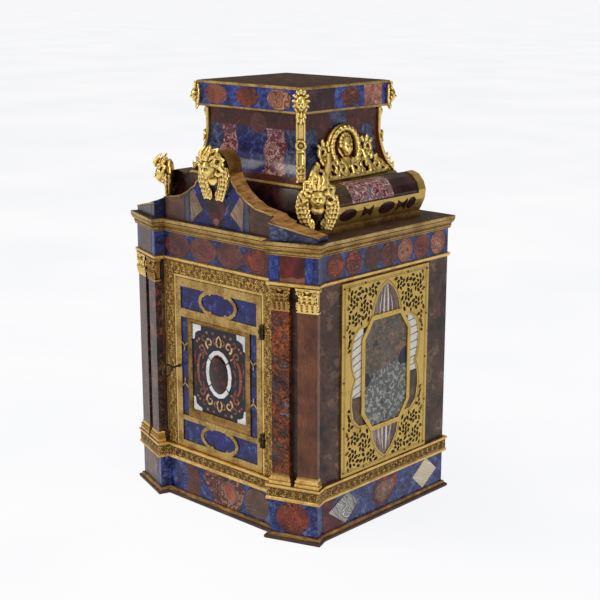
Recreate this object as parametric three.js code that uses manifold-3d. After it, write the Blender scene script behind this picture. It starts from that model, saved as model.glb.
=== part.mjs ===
// A small house tabernacle: a wooden cabinet with canted corner piers, veneered with hard stones,
// with gilt mounts, one hinged door, a curved pediment, a cushion base and a square neck on top.
// Millimetres, +Z up. The origin is on the ground under the middle of the cabinet's width.
// The door side faces -Y, and +X is to the right of somebody who looks at the door.
import * as THREE from 'three';
import { mergeVertices } from 'three/addons/utils/BufferGeometryUtils.js';
import Module from 'manifold-3d';

const wasm = await Module();
wasm.setup();

// Plan of the cabinet
const HALF_WIDTH = 172.5;
const BACK_Y = 155.3;
const FRONT_Y = -133.8;
const BAY_HALF_WIDTH = 107.4;
const PIER_TURN = THREE.MathUtils.degToRad(19.8);
const PIER_WIDTH = 69.6;
const PIER_STANDS_PROUD = 14.5;
const PIER_RECESS = 9;
const BOARD = 14;
const CASE_FRONT = -98;
const FRAME_HALF_WIDTH = 109.8;
const FRAME_BACK = -119.8;
const JOINT_GAP = 0.3;

// Heights of the cabinet's courses
const FOOT_TOP = 9;
const PLINTH_TOP = 57;
const BAND_TOP = 79;
const BASE_TOP = 94;
const CAPITAL_FOOT = 319;
const CASE_TOP = 352;
const ARCHITRAVE_TOP = 358;
const FRIEZE_TOP = 393;
const DECK = 411;

// Door
const DOOR_HALF_WIDTH = 84.6;
const DOOR_LOW = 79.8;
const DOOR_HIGH = 329.8;
const DOOR_BACK = -119.6;
const LEAF_FACE = -130.2;
const STONE_FACE = -132.6;
const GRILLE_FACE = -134.2;
const DOOR_CLEARANCE = 0.8;
const HINGE_X = 85.3;
const HINGE_Y = -136.4;
const KNUCKLE_RADIUS = 2;
const HINGE_HEIGHTS = { upper: 281, lower: 128 };

// Upper stage
const UPPER_Y = 17.3;
const DEPTH_LESS = 9.5;
const CUSHION_FRONT = -92;
const CUSHION_BACK = 127;
const CUSHION_DECK = 467.5;
const NECK_FOOT = 473;
const BLOCK_FOOT = 564;
const BLOCK_HALF_WIDTH = 99.5;
const TOP = 600;
const FILLET = 3.4;
const NECK_PROFILE = [[106, 473], [102.6, 479], [99.5, 485], [95.4, 496], [93, 506], [91, 517], [90, 530],
  [90, 564]];
const CUSHION_ROLL = [[143, 411], [143, 419], [141, 420], [144, 425], [150, 438], [151.3, 450], [147.5, 460],
  [139, 469], [126, 472.8], [115, 470.5], [109.5, 467.5]];

// Ornament
const CHERUB_HALF_WIDTH = 29;
const CHERUB_LOW = -38;
const CHERUB_HIGH = 38;

const gilt = new THREE.MeshStandardMaterial({ color: 0xc39a3c, metalness: 0.9, roughness: 0.4 });
const darkWood = new THREE.MeshStandardMaterial({ color: 0x2e1e17, roughness: 0.65 });
const mouldingWood = new THREE.MeshStandardMaterial({ color: 0x7a5a2c, roughness: 0.5 });
const lapis = new THREE.MeshStandardMaterial({ color: 0x22337a, roughness: 0.3 });
const agate = new THREE.MeshStandardMaterial({ color: 0x8c3a30, roughness: 0.25 });
const jasper = new THREE.MeshStandardMaterial({ color: 0x7a3a24, roughness: 0.3 });
const purpleStone = new THREE.MeshStandardMaterial({ color: 0x4a343a, roughness: 0.35 });
const mottledStone = new THREE.MeshStandardMaterial({ color: 0x77746c, roughness: 0.35 });
const whiteStone = new THREE.MeshStandardMaterial({ color: 0xd8dcdc, roughness: 0.3 });
const darkRedStone = new THREE.MeshStandardMaterial({ color: 0x2c0d10, roughness: 0.2 });
const darkSteel = new THREE.MeshStandardMaterial({ color: 0x3c342c, metalness: 0.8, roughness: 0.45 });

const tabernacle = new THREE.Group();

// Closed geometry with shared corners and no collapsed faces.
function closed(geometry) {
  const bare = new THREE.BufferGeometry();
  bare.setAttribute('position', geometry.getAttribute('position').clone());
  bare.setIndex(geometry.getIndex());
  const merged = mergeVertices(bare, 1e-4);
  const faces = [];
  const index = merged.getIndex();
  for (let i = 0; i < index.count; i += 3) {
    const [a, b, c] = [index.getX(i), index.getX(i + 1), index.getX(i + 2)];
    if (a !== b && b !== c && c !== a) faces.push(a, b, c);
  }
  merged.setIndex(faces);
  return merged;
}

function solidOf(geometry) {
  const mesh = closed(geometry);
  const vertProperties = Float32Array.from(mesh.getAttribute('position').array);
  const triVerts = Uint32Array.from(mesh.getIndex().array);
  return new wasm.Manifold(new wasm.Mesh({ numProp: 3, vertProperties, triVerts }));
}

function geometryOf(solid) {
  const mesh = solid.getMesh();
  const geometry = new THREE.BufferGeometry();
  geometry.setAttribute('position', new THREE.BufferAttribute(Float32Array.from(mesh.vertProperties), 3));
  geometry.setIndex(Array.from(mesh.triVerts));
  return geometry;
}

function joined(solids) {
  return solids.reduce((whole, piece) => whole.add(piece));
}

// A casting is solid: only the largest skin stays, without the small voids between its lumps.
function casting(solid) {
  return solid.decompose().reduce((largest, piece) => (piece.volume() > largest.volume() ? piece : largest));
}

function add(name, solid, material, holder = tabernacle) {
  const mesh = new THREE.Mesh(geometryOf(solid), material);
  mesh.name = name;
  holder.add(mesh);
}

// Rows of corners, one above the other, become a closed body. Each row runs anticlockwise from above.
function loft(rows) {
  const count = rows[0].length;
  const points = rows.flat();
  const faces = [];
  for (let row = 0; row + 1 < rows.length; row += 1) {
    for (let i = 0; i < count; i += 1) {
      const next = (i + 1) % count;
      const [low, lowNext] = [row * count + i, row * count + next];
      const [high, highNext] = [low + count, lowNext + count];
      faces.push(low, lowNext, highNext, low, highNext, high);
    }
  }
  const capOf = (row) => THREE.ShapeUtils.triangulateShape(row.map((p) => new THREE.Vector2(p.x, p.y)), []);
  for (const [a, b, c] of capOf(rows[0])) faces.push(c, b, a);
  const start = (rows.length - 1) * count;
  for (const [a, b, c] of capOf(rows.at(-1))) faces.push(start + a, start + b, start + c);
  const geometry = new THREE.BufferGeometry().setFromPoints(points);
  geometry.setIndex(faces);
  return solidOf(geometry);
}

function box(x0, x1, y0, y1, z0, z1) {
  const geometry = new THREE.BoxGeometry(x1 - x0, y1 - y0, z1 - z0);
  return solidOf(geometry.translate((x0 + x1) / 2, (y0 + y1) / 2, (z0 + z1) / 2));
}

function outline(points) {
  return new THREE.Shape(points.map(([x, y]) => new THREE.Vector2(x, y)));
}

// An outline in the XY plane, raised from z0 to z1.
function raised(shape, z0, z1, curveSegments = 6) {
  const geometry = new THREE.ExtrudeGeometry(shape, { depth: z1 - z0, bevelEnabled: false, curveSegments });
  return solidOf(geometry.translate(0, 0, z0));
}

// A frame that carries upright ornament: its x runs to the right, its y up, and its z straight out
// of the wall that is turned by the given angle from the front.
function wallFrame(x, y, z, turn) {
  const upright = new THREE.Group();
  upright.rotation.x = Math.PI / 2;
  const holder = new THREE.Group();
  holder.rotation.z = turn;
  holder.position.set(x, y, z);
  holder.add(upright);
  tabernacle.add(holder);
  holder.updateMatrixWorld(true);
  return upright;
}

// A solid of the whole object, seen from inside a wall frame.
function seenFrom(frame, solid) {
  return solid.transform(frame.matrixWorld.clone().invert().toArray());
}

const pierOut = new THREE.Vector2(Math.sin(PIER_TURN), -Math.cos(PIER_TURN));
const pierAlong = new THREE.Vector2(Math.cos(PIER_TURN), Math.sin(PIER_TURN));
const bayCorner = new THREE.Vector2(BAY_HALF_WIDTH, FRONT_Y);
const pierInner = bayCorner.clone().addScaledVector(pierOut, PIER_STANDS_PROUD);
const pierOuter = pierInner.clone().addScaledVector(pierAlong, PIER_WIDTH);
const returnDepth = (pierOuter.x - HALF_WIDTH) / pierOut.x;
const sideFront = pierOuter.clone().addScaledVector(pierOut, -returnDepth);
const mirrored = (p) => new THREE.Vector2(-p.x, p.y);

const rightHalf = [bayCorner, pierInner, pierOuter, sideFront, new THREE.Vector2(HALF_WIDTH, BACK_Y)];
const plan = [...rightHalf, ...rightHalf.toReversed().map(mirrored)];

// The plan with every side moved outward by the same reach, corners kept sharp.
function grown(loop, reach) {
  const outward = loop.map((p, i) => {
    const side = loop[(i + 1) % loop.length].clone().sub(p).normalize();
    return new THREE.Vector2(side.y, -side.x);
  });
  return loop.map((p, i) => {
    const before = outward.at(i - 1);
    const after = outward[i];
    const mitre = before.clone().add(after).divideScalar(1 + before.dot(after));
    return p.clone().addScaledVector(mitre, reach);
  });
}

function rowAt(loop, reach, z) {
  return grown(loop, reach).map((p) => new THREE.Vector3(p.x, p.y, z));
}

// A full course of the cabinet. Its edge is a list of [reach, height] from the bottom up.
function course(edge, loop = plan) {
  return loft(edge.map(([reach, z]) => rowAt(loop, reach, z)));
}

function rectangle(halfX, halfY, centreY = UPPER_Y) {
  const corners = [[-1, -1], [1, -1], [1, 1], [-1, 1]];
  return corners.map(([sx, sy]) => new THREE.Vector2(sx * halfX, centreY + sy * halfY));
}

// Cabinet: foot, plinth and gilt band
add('base_board', course([[5.4, 0], [6.6, 1.4], [6.6, 4.2], [5.2, 5.4], [3.6, 6], [2.8, FOOT_TOP]]), darkWood);
add('plinth', course([[0, FOOT_TOP], [0, PLINTH_TOP]]), lapis);

const bandEdge = [[4.6, PLINTH_TOP], [4.6, 60], [3.4, 61.2], [3.4, 74.6], [5.2, 75.8], [5.2, BAND_TOP]];
const bandCore = course([[JOINT_GAP, PLINTH_TOP - 1], [JOINT_GAP, BAND_TOP + 1]]);
add('plinth_band', course(bandEdge).subtract(bandCore), gilt);

// Cabinet: boards of the case. The floor carries a thin lining, clear of the boards round it
const inside = HALF_WIDTH - BOARD;
const LINING_TOP = 79.6;
const LINING_MARGIN = 0.5;
const lining = box(-inside + LINING_MARGIN, inside - LINING_MARGIN, CASE_FRONT + LINING_MARGIN,
  BACK_Y - BOARD - LINING_MARGIN, PLINTH_TOP + 1, LINING_TOP);
add('case_floor', course([[0, PLINTH_TOP], [0, BAND_TOP]]).add(lining), darkWood);
add('back_board', box(-inside, inside, BACK_Y - BOARD, BACK_Y, BAND_TOP, CASE_TOP), darkWood);
const ceilingPlan = [[-inside, CASE_FRONT], [-FRAME_HALF_WIDTH, CASE_FRONT], [-FRAME_HALF_WIDTH, FRAME_BACK],
  [FRAME_HALF_WIDTH, FRAME_BACK], [FRAME_HALF_WIDTH, CASE_FRONT], [inside, CASE_FRONT],
  [inside, BACK_Y - BOARD], [-inside, BACK_Y - BOARD]];
add('case_ceiling', raised(outline(ceilingPlan), CASE_TOP - BOARD, CASE_TOP), darkWood);

// Door frame: a case board with a door opening that runs down to the floor board
const [openHalf, openTop] = [DOOR_HALF_WIDTH + DOOR_CLEARANCE, DOOR_HIGH + DOOR_CLEARANCE];
const doorFrameOutline = outline([[-FRAME_HALF_WIDTH, BAND_TOP], [-openHalf, BAND_TOP], [-openHalf, openTop],
  [openHalf, openTop], [openHalf, BAND_TOP], [FRAME_HALF_WIDTH, BAND_TOP],
  [FRAME_HALF_WIDTH, CASE_TOP], [-FRAME_HALF_WIDTH, CASE_TOP]]);
const front = wallFrame(0, 0, 0, 0);
add('door_frame', raised(doorFrameOutline, -FRAME_BACK, -FRONT_Y), gilt, front);

for (const [side, name] of [[1, 'right'], [-1, 'left']]) {
  const [near, far] = [side * inside, side * HALF_WIDTH].sort((a, b) => a - b);
  add(`side_board_${name}`, box(near, far, CASE_FRONT, BACK_Y, BAND_TOP, CASE_TOP), purpleStone);
}

// A point of the right pier: along its face from the inner corner, and in behind the face.
function onPier(along, behind) {
  return pierInner.clone().addScaledVector(pierAlong, along).addScaledVector(pierOut, -behind);
}

const pierEdge = 3;
const postInner = onPier(pierEdge, PIER_STANDS_PROUD);
const rightPost = [onPier(pierEdge, PIER_RECESS), onPier(PIER_WIDTH - pierEdge, PIER_RECESS), sideFront,
  new THREE.Vector2(HALF_WIDTH, CASE_FRONT), new THREE.Vector2(postInner.x, CASE_FRONT), postInner];
const leftPost = rightPost.toReversed().map(mirrored);
for (const [loop, name] of [[rightPost, 'right'], [leftPost, 'left']]) {
  add(`pier_${name}`, course([[0, BAND_TOP], [0, CASE_TOP]], loop), purpleStone);
}

// Pilasters: a pair on each pier, each with a moulded base, a plain shaft and a leafy capital
const PILASTER_DEPTH = PIER_RECESS - JOINT_GAP;

// A solid made with +Z up and -Y in front, laid into a wall frame's axes.
function standing(solid) {
  return solid.transform(new THREE.Matrix4().makeRotationX(-Math.PI / 2).toArray());
}

// A block against the wall, its front and sides stepped by [reach, height].
function stepped(halfWidth, steps) {
  const rows = steps.map(([reach, height]) => {
    const half = halfWidth + reach;
    return [[-half, -reach], [half, -reach], [half, PILASTER_DEPTH], [-half, PILASTER_DEPTH]]
      .map(([x, y]) => new THREE.Vector3(x, y, height));
  });
  return standing(loft(rows));
}

// A leaf that climbs the wall from y0 to y1, ridged down the middle, and leans forward at its tip.
function leaf(x, y0, y1, halfWidth, out, lean) {
  const stations = [[0, 0.7, 0], [0.6, 1, 0.35], [1, 0.55, 1]];
  const rows = stations.map(([up, wide, forward]) => [[-1, -3], [0, 1], [1, -3]].map(([across, deep]) => (
    new THREE.Vector3(x + across * halfWidth * wide, -(out + lean * forward + deep), y0 + (y1 - y0) * up))));
  return standing(loft(rows));
}

function roundBar(radius, length, sides) {
  return new THREE.CylinderGeometry(radius, radius, length, sides);
}

const LOWER_LEAVES = [-0.68, 0, 0.68];
const UPPER_LEAVES = [-0.35, 0.35];

function capital(halfWidth) {
  const [foot, top] = [CAPITAL_FOOT, CASE_TOP];
  const bell = stepped(halfWidth, [[0.8, foot], [0.8, foot + 2.4], [-1.4, foot + 2.6], [-1.4, top - 9],
    [3, top - 4], [3, top - JOINT_GAP]]);
  const wide = halfWidth * 0.3;
  const lower = LOWER_LEAVES.map((place) => leaf(place * halfWidth, foot + 3, foot + 17, wide, 1, 2.6));
  const upper = UPPER_LEAVES.map((place) => leaf(place * halfWidth, foot + 9, foot + 27, wide, 0.4, 3.4));
  const volutes = [-1, 1].map((side) => (
    solidOf(roundBar(4, 6, 6).rotateX(Math.PI / 2).translate(side * (halfWidth - 1.5), top - 8.5, 0.8))));
  return casting(joined([bell, ...lower, ...upper, ...volutes]));
}

const innerPilaster = { name: 'inner', from: 1.6, to: 30 };
const outerPilaster = { name: 'outer', from: 39, to: 70.4 };
for (const [side, sideName] of [[1, 'right'], [-1, 'left']]) {
  for (const { name, from, to } of [innerPilaster, outerPilaster]) {
    const middle = onPier((from + to) / 2, 0);
    const holder = wallFrame(side * middle.x, middle.y, 0, side * PIER_TURN);
    const half = (to - from) / 2 - 1.6;
    const label = `${name}_${sideName}`;
    add(`pilaster_base_${label}`, stepped(half, [[3.4, BAND_TOP + JOINT_GAP], [3.4, 83.4], [2, 84.2], [3, 87.2],
      [1.2, 89.4], [1.2, 91.4], [0, BASE_TOP - JOINT_GAP]]), gilt, holder);
    add(`pilaster_${label}`, stepped(half, [[0, BASE_TOP], [0, CAPITAL_FOOT - JOINT_GAP]]), jasper, holder);
    add(`capital_${label}`, capital(half), gilt, holder);
  }
}

// Entablature
add('architrave', course([[0.8, CASE_TOP], [2, 353], [3, 354.5], [3, 357], [1, ARCHITRAVE_TOP]]), gilt);
add('frieze', course([[0, ARCHITRAVE_TOP], [0, FRIEZE_TOP]]), agate);
const CORNICE_REACH = 7;
const corniceEdge = [[2, FRIEZE_TOP], [3, 396.5], [3, 399], [4.4, 401.5], [6, 403.5], [6.4, 406],
  [CORNICE_REACH, 407], [CORNICE_REACH, DECK]];
add('cornice', course(corniceEdge), mouldingWood);

// Side panels: a pierced gilt plate over a stone slab
const PANEL_HALF_WIDTH = 91.7;
const PANEL_LOW = 80;
const PANEL_HIGH = 350;
const PANEL_MIDDLE = 214;
const PLATE_FACE = 2.6;
const SLAB_FACE = 1.4;

// The octagon in the middle of a panel, grown evenly by a border.
function octagon(border) {
  const [x, y] = [45.5 + border, 75.5 + border];
  const [cutX, cutY] = [17 + border * 0.6, 24 + border * 0.8];
  const corners = [[x, y - cutY], [x - cutX, y], [cutX - x, y], [-x, y - cutY]];
  const below = corners.map(([cornerX, cornerY]) => [-cornerX, -cornerY]);
  return [...corners, ...below].map(([cornerX, cornerY]) => [cornerX, cornerY + PANEL_MIDDLE]);
}

// The lobed window: a pointed tongue above and below, and two round lobes on each side.
function lobedWindow() {
  const tongue = { half: 29, base: 78, point: 125 };
  const lobe = { reach: 71, notch: 62, end: 36, top: 70 };
  const shape = new THREE.Shape();
  const m = PANEL_MIDDLE;
  shape.moveTo(tongue.half, m - tongue.base);
  shape.lineTo(lobe.end, m - lobe.top);
  for (const [sx, sy] of [[1, -1], [-1, 1]]) {
    const reach = sx * lobe.reach;
    shape.quadraticCurveTo(reach, m + sy * 74, reach, m + sy * 36);
    shape.quadraticCurveTo(reach, m + sy * 10, sx * lobe.notch, m);
    shape.quadraticCurveTo(reach, m - sy * 10, reach, m - sy * 36);
    shape.quadraticCurveTo(reach, m - sy * 74, sx * lobe.end, m - sy * lobe.top);
    shape.lineTo(sx * tongue.half, m - sy * tongue.base);
    shape.quadraticCurveTo(sx * (tongue.half - 3), m - sy * 110, 0, m - sy * tongue.point);
    shape.quadraticCurveTo(sx * (3 - tongue.half), m - sy * 110, -sx * tongue.half, m - sy * tongue.base);
    if (sx > 0) shape.lineTo(-lobe.end, m + lobe.top);
  }
  return shape;
}

for (const [side, sideName] of [[1, 'right'], [-1, 'left']]) {
  const holder = wallFrame(side * (HALF_WIDTH + JOINT_GAP), UPPER_Y, 0, side * Math.PI / 2);
  const slabHalf = 75;
  const [slabLow, slabHigh] = [PANEL_MIDDLE - 129, PANEL_MIDDLE + 129];
  const slab = box(-slabHalf, slabHalf, slabLow, slabHigh, 0, SLAB_FACE);
  const pocket = box(-slabHalf - 0.3, slabHalf + 0.3, slabLow - 0.3, slabHigh + 0.3, -1, SLAB_FACE + 0.3);
  const sheet = box(-PANEL_HALF_WIDTH, PANEL_HALF_WIDTH, PANEL_LOW, PANEL_HIGH, 0, PLATE_FACE);
  const frameRing = raised(outline(octagon(6.5)), SLAB_FACE + 0.3, PLATE_FACE + 1.2);
  const light = raised(outline(octagon(0)), -1, 9);
  const plate = sheet.subtract(pocket).subtract(raised(lobedWindow(), -1, 9, 3)).add(frameRing).subtract(light);
  add(`side_stone_${sideName}`, slab, mottledStone, holder);
  add(`side_plate_${sideName}`, plate, gilt, holder);
}

// Door
const STONE_HALF = 77;
const [STONE_LOW, STONE_HIGH] = [88, 320];
const leafBox = box(-DOOR_HALF_WIDTH, DOOR_HALF_WIDTH, DOOR_LOW, DOOR_HIGH, -DOOR_BACK, -LEAF_FACE);
add('door_leaf', leafBox, darkWood, front);
add('door_stone', box(-STONE_HALF, STONE_HALF, STONE_LOW, STONE_HIGH, -LEAF_FACE, -STONE_FACE), lapis, front);

function ellipse(halfX, halfY, centreY, segments) {
  const points = [];
  for (let i = 0; i < segments; i += 1) {
    const angle = (i / segments) * 2 * Math.PI;
    points.push([halfX * Math.cos(angle), centreY + halfY * Math.sin(angle)]);
  }
  return points;
}

// The gilt grille: a border round the stone, two bars, and an oval in the field above and below.
const THROUGH = 200;
const FIELD_HALF = 75.5;
const BAR_FIELDS = [[89.5, 120.5], [128, 274], [286, 318]];
const OVAL_HEIGHTS = [105, 302.3];
const onStone = -STONE_FACE + JOINT_GAP;

function doorGrille() {
  const seatHalf = STONE_HALF + JOINT_GAP;
  const seat = box(-seatHalf, seatHalf, STONE_LOW - JOINT_GAP, STONE_HIGH + JOINT_GAP, 0, onStone);
  const sheet = box(-DOOR_HALF_WIDTH, DOOR_HALF_WIDTH, DOOR_LOW, DOOR_HIGH, -LEAF_FACE, -GRILLE_FACE);
  let grille = sheet.subtract(seat);
  for (const [low, high] of BAR_FIELDS) {
    grille = grille.subtract(box(-FIELD_HALF, FIELD_HALF, low, high, 0, THROUGH));
  }
  for (const height of OVAL_HEIGHTS) {
    const ring = raised(outline(ellipse(38.6, 20.6, height, 16)), onStone, -GRILLE_FACE);
    const hole = raised(outline(ellipse(33, 15, height, 16)), 0, THROUGH);
    const betweenBars = box(-40, 40, height - 18.5, height + 18.5, 0, THROUGH);
    grille = grille.add(ring.intersect(betweenBars)).subtract(hole);
  }
  return grille;
}

add('door_grille', doorGrille(), gilt, front);

// A raised frame round the middle panel, its face a low ridge. Its edges are [left, right, low, high].
function ridgedFrame(outer, inner, back, edge, ridge) {
  const middle = outer.map((value, i) => (value + inner[i]) / 2);
  const row = ([x0, x1, y0, y1], z) => (
    [[x0, y0], [x1, y0], [x1, y1], [x0, y1]].map(([x, y]) => new THREE.Vector3(x, y, z)));
  const mound = loft([row(outer, back), row(outer, edge), row(middle, ridge), row(inner, edge)]);
  return mound.subtract(loft([row(inner, back - 1), row(inner, ridge + 1)]));
}

const panelOuter = [-62.5, 62.5, 128.6, 273.4];
const panelInner = [-53.5, 53.5, 141, 268];
const PANEL_RIDGE = 2.2;
const panelFrame = ridgedFrame(panelOuter, panelInner, onStone, -GRILLE_FACE, PANEL_RIDGE - GRILLE_FACE);
add('panel_frame', panelFrame, gilt, front);

const PANEL_OVAL = 203;
const ovalBody = raised(outline(ellipse(25.6, 34.7, PANEL_OVAL, 16)), onStone, onStone + 1);
const ovalHole = raised(outline(ellipse(19.6, 28.7, PANEL_OVAL, 16)), 0, THROUGH);
add('oval_ring', ovalBody.subtract(ovalHole), whiteStone, front);
const domeShape = new THREE.SphereGeometry(1, 12, 6).scale(18.8, 27.8, 3.4);
const wholeDome = solidOf(domeShape.translate(0, PANEL_OVAL, -STONE_FACE));
const dome = wholeDome.intersect(box(-30, 30, 150, 250, onStone, THROUGH));
add('oval_stone', dome, darkRedStone, front);

// Hinges: three knuckles each, the middle one on the door
function knuckle(low, high) {
  const upright = roundBar(KNUCKLE_RADIUS, high - low, 8).rotateX(Math.PI / 2);
  return solidOf(upright.translate(HINGE_X, HINGE_Y, (low + high) / 2));
}

const HINGE_HALF = 10;
const HINGE_PLATE = 4.6;
for (const [name, height] of Object.entries(HINGE_HEIGHTS)) {
  const third = HINGE_HALF / 3;
  const [plateFront, plateBack] = [HINGE_Y - 0.4, GRILLE_FACE - 0.1];
  const [low, high] = [height - third + JOINT_GAP, height + third - JOINT_GAP];
  const doorPlate = box(HINGE_X - HINGE_PLATE, HINGE_X, plateFront, plateBack, low, high);
  add(`hinge_${name}_door`, knuckle(low, high).add(doorPlate), darkSteel);
  const [foot, head] = [height - HINGE_HALF, height + HINGE_HALF];
  const postPlate = box(HINGE_X, HINGE_X + HINGE_PLATE, plateFront, FRONT_Y - 0.2, foot, head);
  const barrel = knuckle(foot, head).add(postPlate);
  const room = KNUCKLE_RADIUS + 0.4;
  const gap = box(HINGE_X - room, HINGE_X + room, HINGE_Y - room, 0, height - third, height + third);
  add(`hinge_${name}_post`, barrel.subtract(gap), darkSteel);
}

// Key in the door's left stile: a round shank with a collar, and an upright ring for a bow
const KEY_X = -80.5;
const KEY_Z = 200;
const KEY_BOW_Y = -159;
const KEY_TURN = 0.16;
const SHANK_LENGTH = 17.6;
const shankMiddle = GRILLE_FACE - 0.4 - SHANK_LENGTH / 2;
const shank = solidOf(roundBar(1.5, SHANK_LENGTH, 6).translate(KEY_X, shankMiddle, KEY_Z));
const collar = solidOf(roundBar(2.8, 2, 8).translate(KEY_X, GRILLE_FACE - 14, KEY_Z));
const bow = new THREE.TorusGeometry(8.6, 1.5, 4, 12).rotateY(Math.PI / 2).rotateZ(KEY_TURN);
const placedBow = solidOf(bow.translate(KEY_X + 1, KEY_BOW_Y, KEY_Z - 2));
add('key', joined([shank, collar, placedBow]), darkSteel);

// Cushion base: two full rolls, left and right, under the neck. Its front slopes back a little.
const FRONT_SLOPE = 0.3;
const FRONT_SLOPE_FOOT = 440;
const BAND_THICKNESS = 2;

function cushionSection(margin) {
  const right = CUSHION_ROLL.map(([x, z]) => new THREE.Vector2(x, z));
  return grown([...right, ...right.toReversed().map(mirrored)], margin);
}

// An outline in X and Z carried along Y.
function along(loop, y0, y1) {
  const rows = [-y1, -y0].map((z) => loop.map((p) => new THREE.Vector3(p.x, p.y, z)));
  return loft(rows).transform(new THREE.Matrix4().makeRotationX(Math.PI / 2).toArray());
}

function cushionBody(margin) {
  const body = along(cushionSection(margin), CUSHION_FRONT - margin, CUSHION_BACK + margin);
  const slope = new THREE.BoxGeometry(400, 30, 60).translate(0, -15, 30).rotateX(-FRONT_SLOPE);
  return body.subtract(solidOf(slope.translate(0, CUSHION_FRONT - margin, FRONT_SLOPE_FOOT)));
}

add('cushion', cushionBody(0), purpleStone);

// Pierced bands: a thin gilt sheet bent to the lower half of each roll, with a strip up its back end
const BAND_LOW = 420.5;
const BAND_HIGH = 446.5;
const BAND_FRONT = -62;
const END_STRIP = 15;
const WINDOW_COUNT = 6;
const WINDOW_PITCH = 27.5;
const LAST_WINDOW_Y = 98;
const WINDOW_Z = 433;
const OVAL_WINDOW = ellipse(11, 7, WINDOW_Z, 8);
const WAISTED_WINDOW = [[8, 425.5], [3.5, WINDOW_Z], [8, 440.5], [-8, 440.5], [-3.5, WINDOW_Z], [-8, 425.5]];

for (const [side, sideName] of [[1, 'right'], [-1, 'left']]) {
  const outward = wallFrame(0, 0, 0, side * Math.PI / 2);
  const shell = cushionBody(BAND_THICKNESS).subtract(cushionBody(JOINT_GAP));
  const bandBack = CUSHION_BACK - 0.5;
  const strip = box(120, 170, BAND_FRONT, bandBack, BAND_LOW, BAND_HIGH);
  const endStrip = box(112, 170, bandBack - END_STRIP, bandBack, BAND_LOW, 480);
  const half = strip.add(endStrip);
  let band = shell.intersect(side > 0 ? half : half.mirror([1, 0, 0]));
  for (let i = 0; i < WINDOW_COUNT; i += 1) {
    const window = raised(outline(i % 2 ? OVAL_WINDOW : WAISTED_WINDOW), 100, THROUGH);
    const cutter = window.transform(outward.matrixWorld.toArray());
    band = band.subtract(cutter.translate(0, LAST_WINDOW_Y - i * WINDOW_PITCH, 0));
  }
  add(`cushion_band_${sideName}`, band, gilt);
}

// Neck: a square shaft that flares to its foot
function neckRow(half, z, margin = 0) {
  return rowAt(rectangle(half, half - DEPTH_LESS), margin, z);
}

function neckBody(margin) {
  return loft(NECK_PROFILE.map(([half, z], i) => neckRow(half, z - (i ? 0 : margin), margin)));
}

const neckFillet = loft([neckRow(108.2, CUSHION_DECK), neckRow(109, 470), neckRow(107, NECK_FOOT)]);
add('neck_fillet', neckFillet, gilt);
add('neck', neckBody(0), lapis);

// Top block with its gilt fillets and rough wooden top
const BLOCK_TOP = 596;
const BOARD_INSET = 3;
const blockRow = (reach, z) => neckRow(BLOCK_HALF_WIDTH, z, reach);
const lowerFilletEdge = [[0, BLOCK_FOOT], [1, BLOCK_FOOT + 1], [1, BLOCK_FOOT + FILLET]];
add('block_fillet_low', loft(lowerFilletEdge.map(([reach, z]) => blockRow(reach, z))), gilt);
add('block', loft([blockRow(0, BLOCK_FOOT + FILLET), blockRow(0, BLOCK_TOP)]), lapis);
const upperFillet = loft([blockRow(1, BLOCK_TOP), blockRow(1, TOP - 1.6), blockRow(0.2, TOP - 0.6)]);
const seatReach = JOINT_GAP - BOARD_INSET;
const boardSeat = loft([blockRow(seatReach, BLOCK_TOP - 1), blockRow(seatReach, TOP + 1)]);
add('block_fillet_top', upperFillet.subtract(boardSeat), gilt);
const topRows = [blockRow(-BOARD_INSET, BLOCK_TOP), blockRow(-BOARD_INSET, TOP - 0.6), blockRow(-4, TOP)];
add('top_board', loft(topRows), darkWood);

// Pediment: a board that follows the plan, curved up to a round crest in the middle
const CREST_Z = 490;
const CREST_RADIUS = 25;
const PEDIMENT_SET_BACK = 1;
const PEDIMENT_THICKNESS = 25;
const PEDIMENT_END = 200;
const PEDIMENT_SLOPE = [[178, 417], [112, 436], [107, 440], [75, 445], [55.5, 454], [41.5, 463.5],
  [32, 474]];

function pedimentOutline() {
  const right = [[PEDIMENT_END, DECK], [PEDIMENT_END, 411.5], ...PEDIMENT_SLOPE, [CREST_RADIUS, CREST_Z - 4]];
  return [...right, ...right.toReversed().map(([x, z]) => [-x, z])].map(([x, z]) => new THREE.Vector2(x, z));
}

// The space behind the board: its front follows the bay and the piers, and it runs out past both sides.
const boardBack = grown(plan, -PEDIMENT_SET_BACK - PEDIMENT_THICKNESS);
const pastPier = boardBack[2].clone().addScaledVector(pierAlong, PIER_WIDTH);
const rightBack = [...boardBack.slice(0, 3), pastPier, new THREE.Vector2(pastPier.x, BACK_Y)];
const backPlan = [...rightBack, ...rightBack.toReversed().map(mirrored)];
const behindBoard = course([[0, DECK - 1], [0, TOP]], backPlan);

const crestMiddle = FRONT_Y + PEDIMENT_SET_BACK + PEDIMENT_THICKNESS / 2;
const crest = solidOf(roundBar(CREST_RADIUS, PEDIMENT_THICKNESS, 18).translate(0, crestMiddle, CREST_Z));
const behindFacing = course([[-PEDIMENT_SET_BACK, DECK], [-PEDIMENT_SET_BACK, TOP]]);
const board = along(pedimentOutline(), -160, CUSHION_FRONT).subtract(behindBoard);
const pediment = board.add(crest).intersect(behindFacing);
add('pediment', pediment, lapis);

// Cast ornament: faces, wings, curls and scrolls
const swell = (x, y, cx, cy, sx, sy) => Math.exp(-(((x - cx) / sx) ** 2) - ((y - cy) / sy) ** 2);

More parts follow.
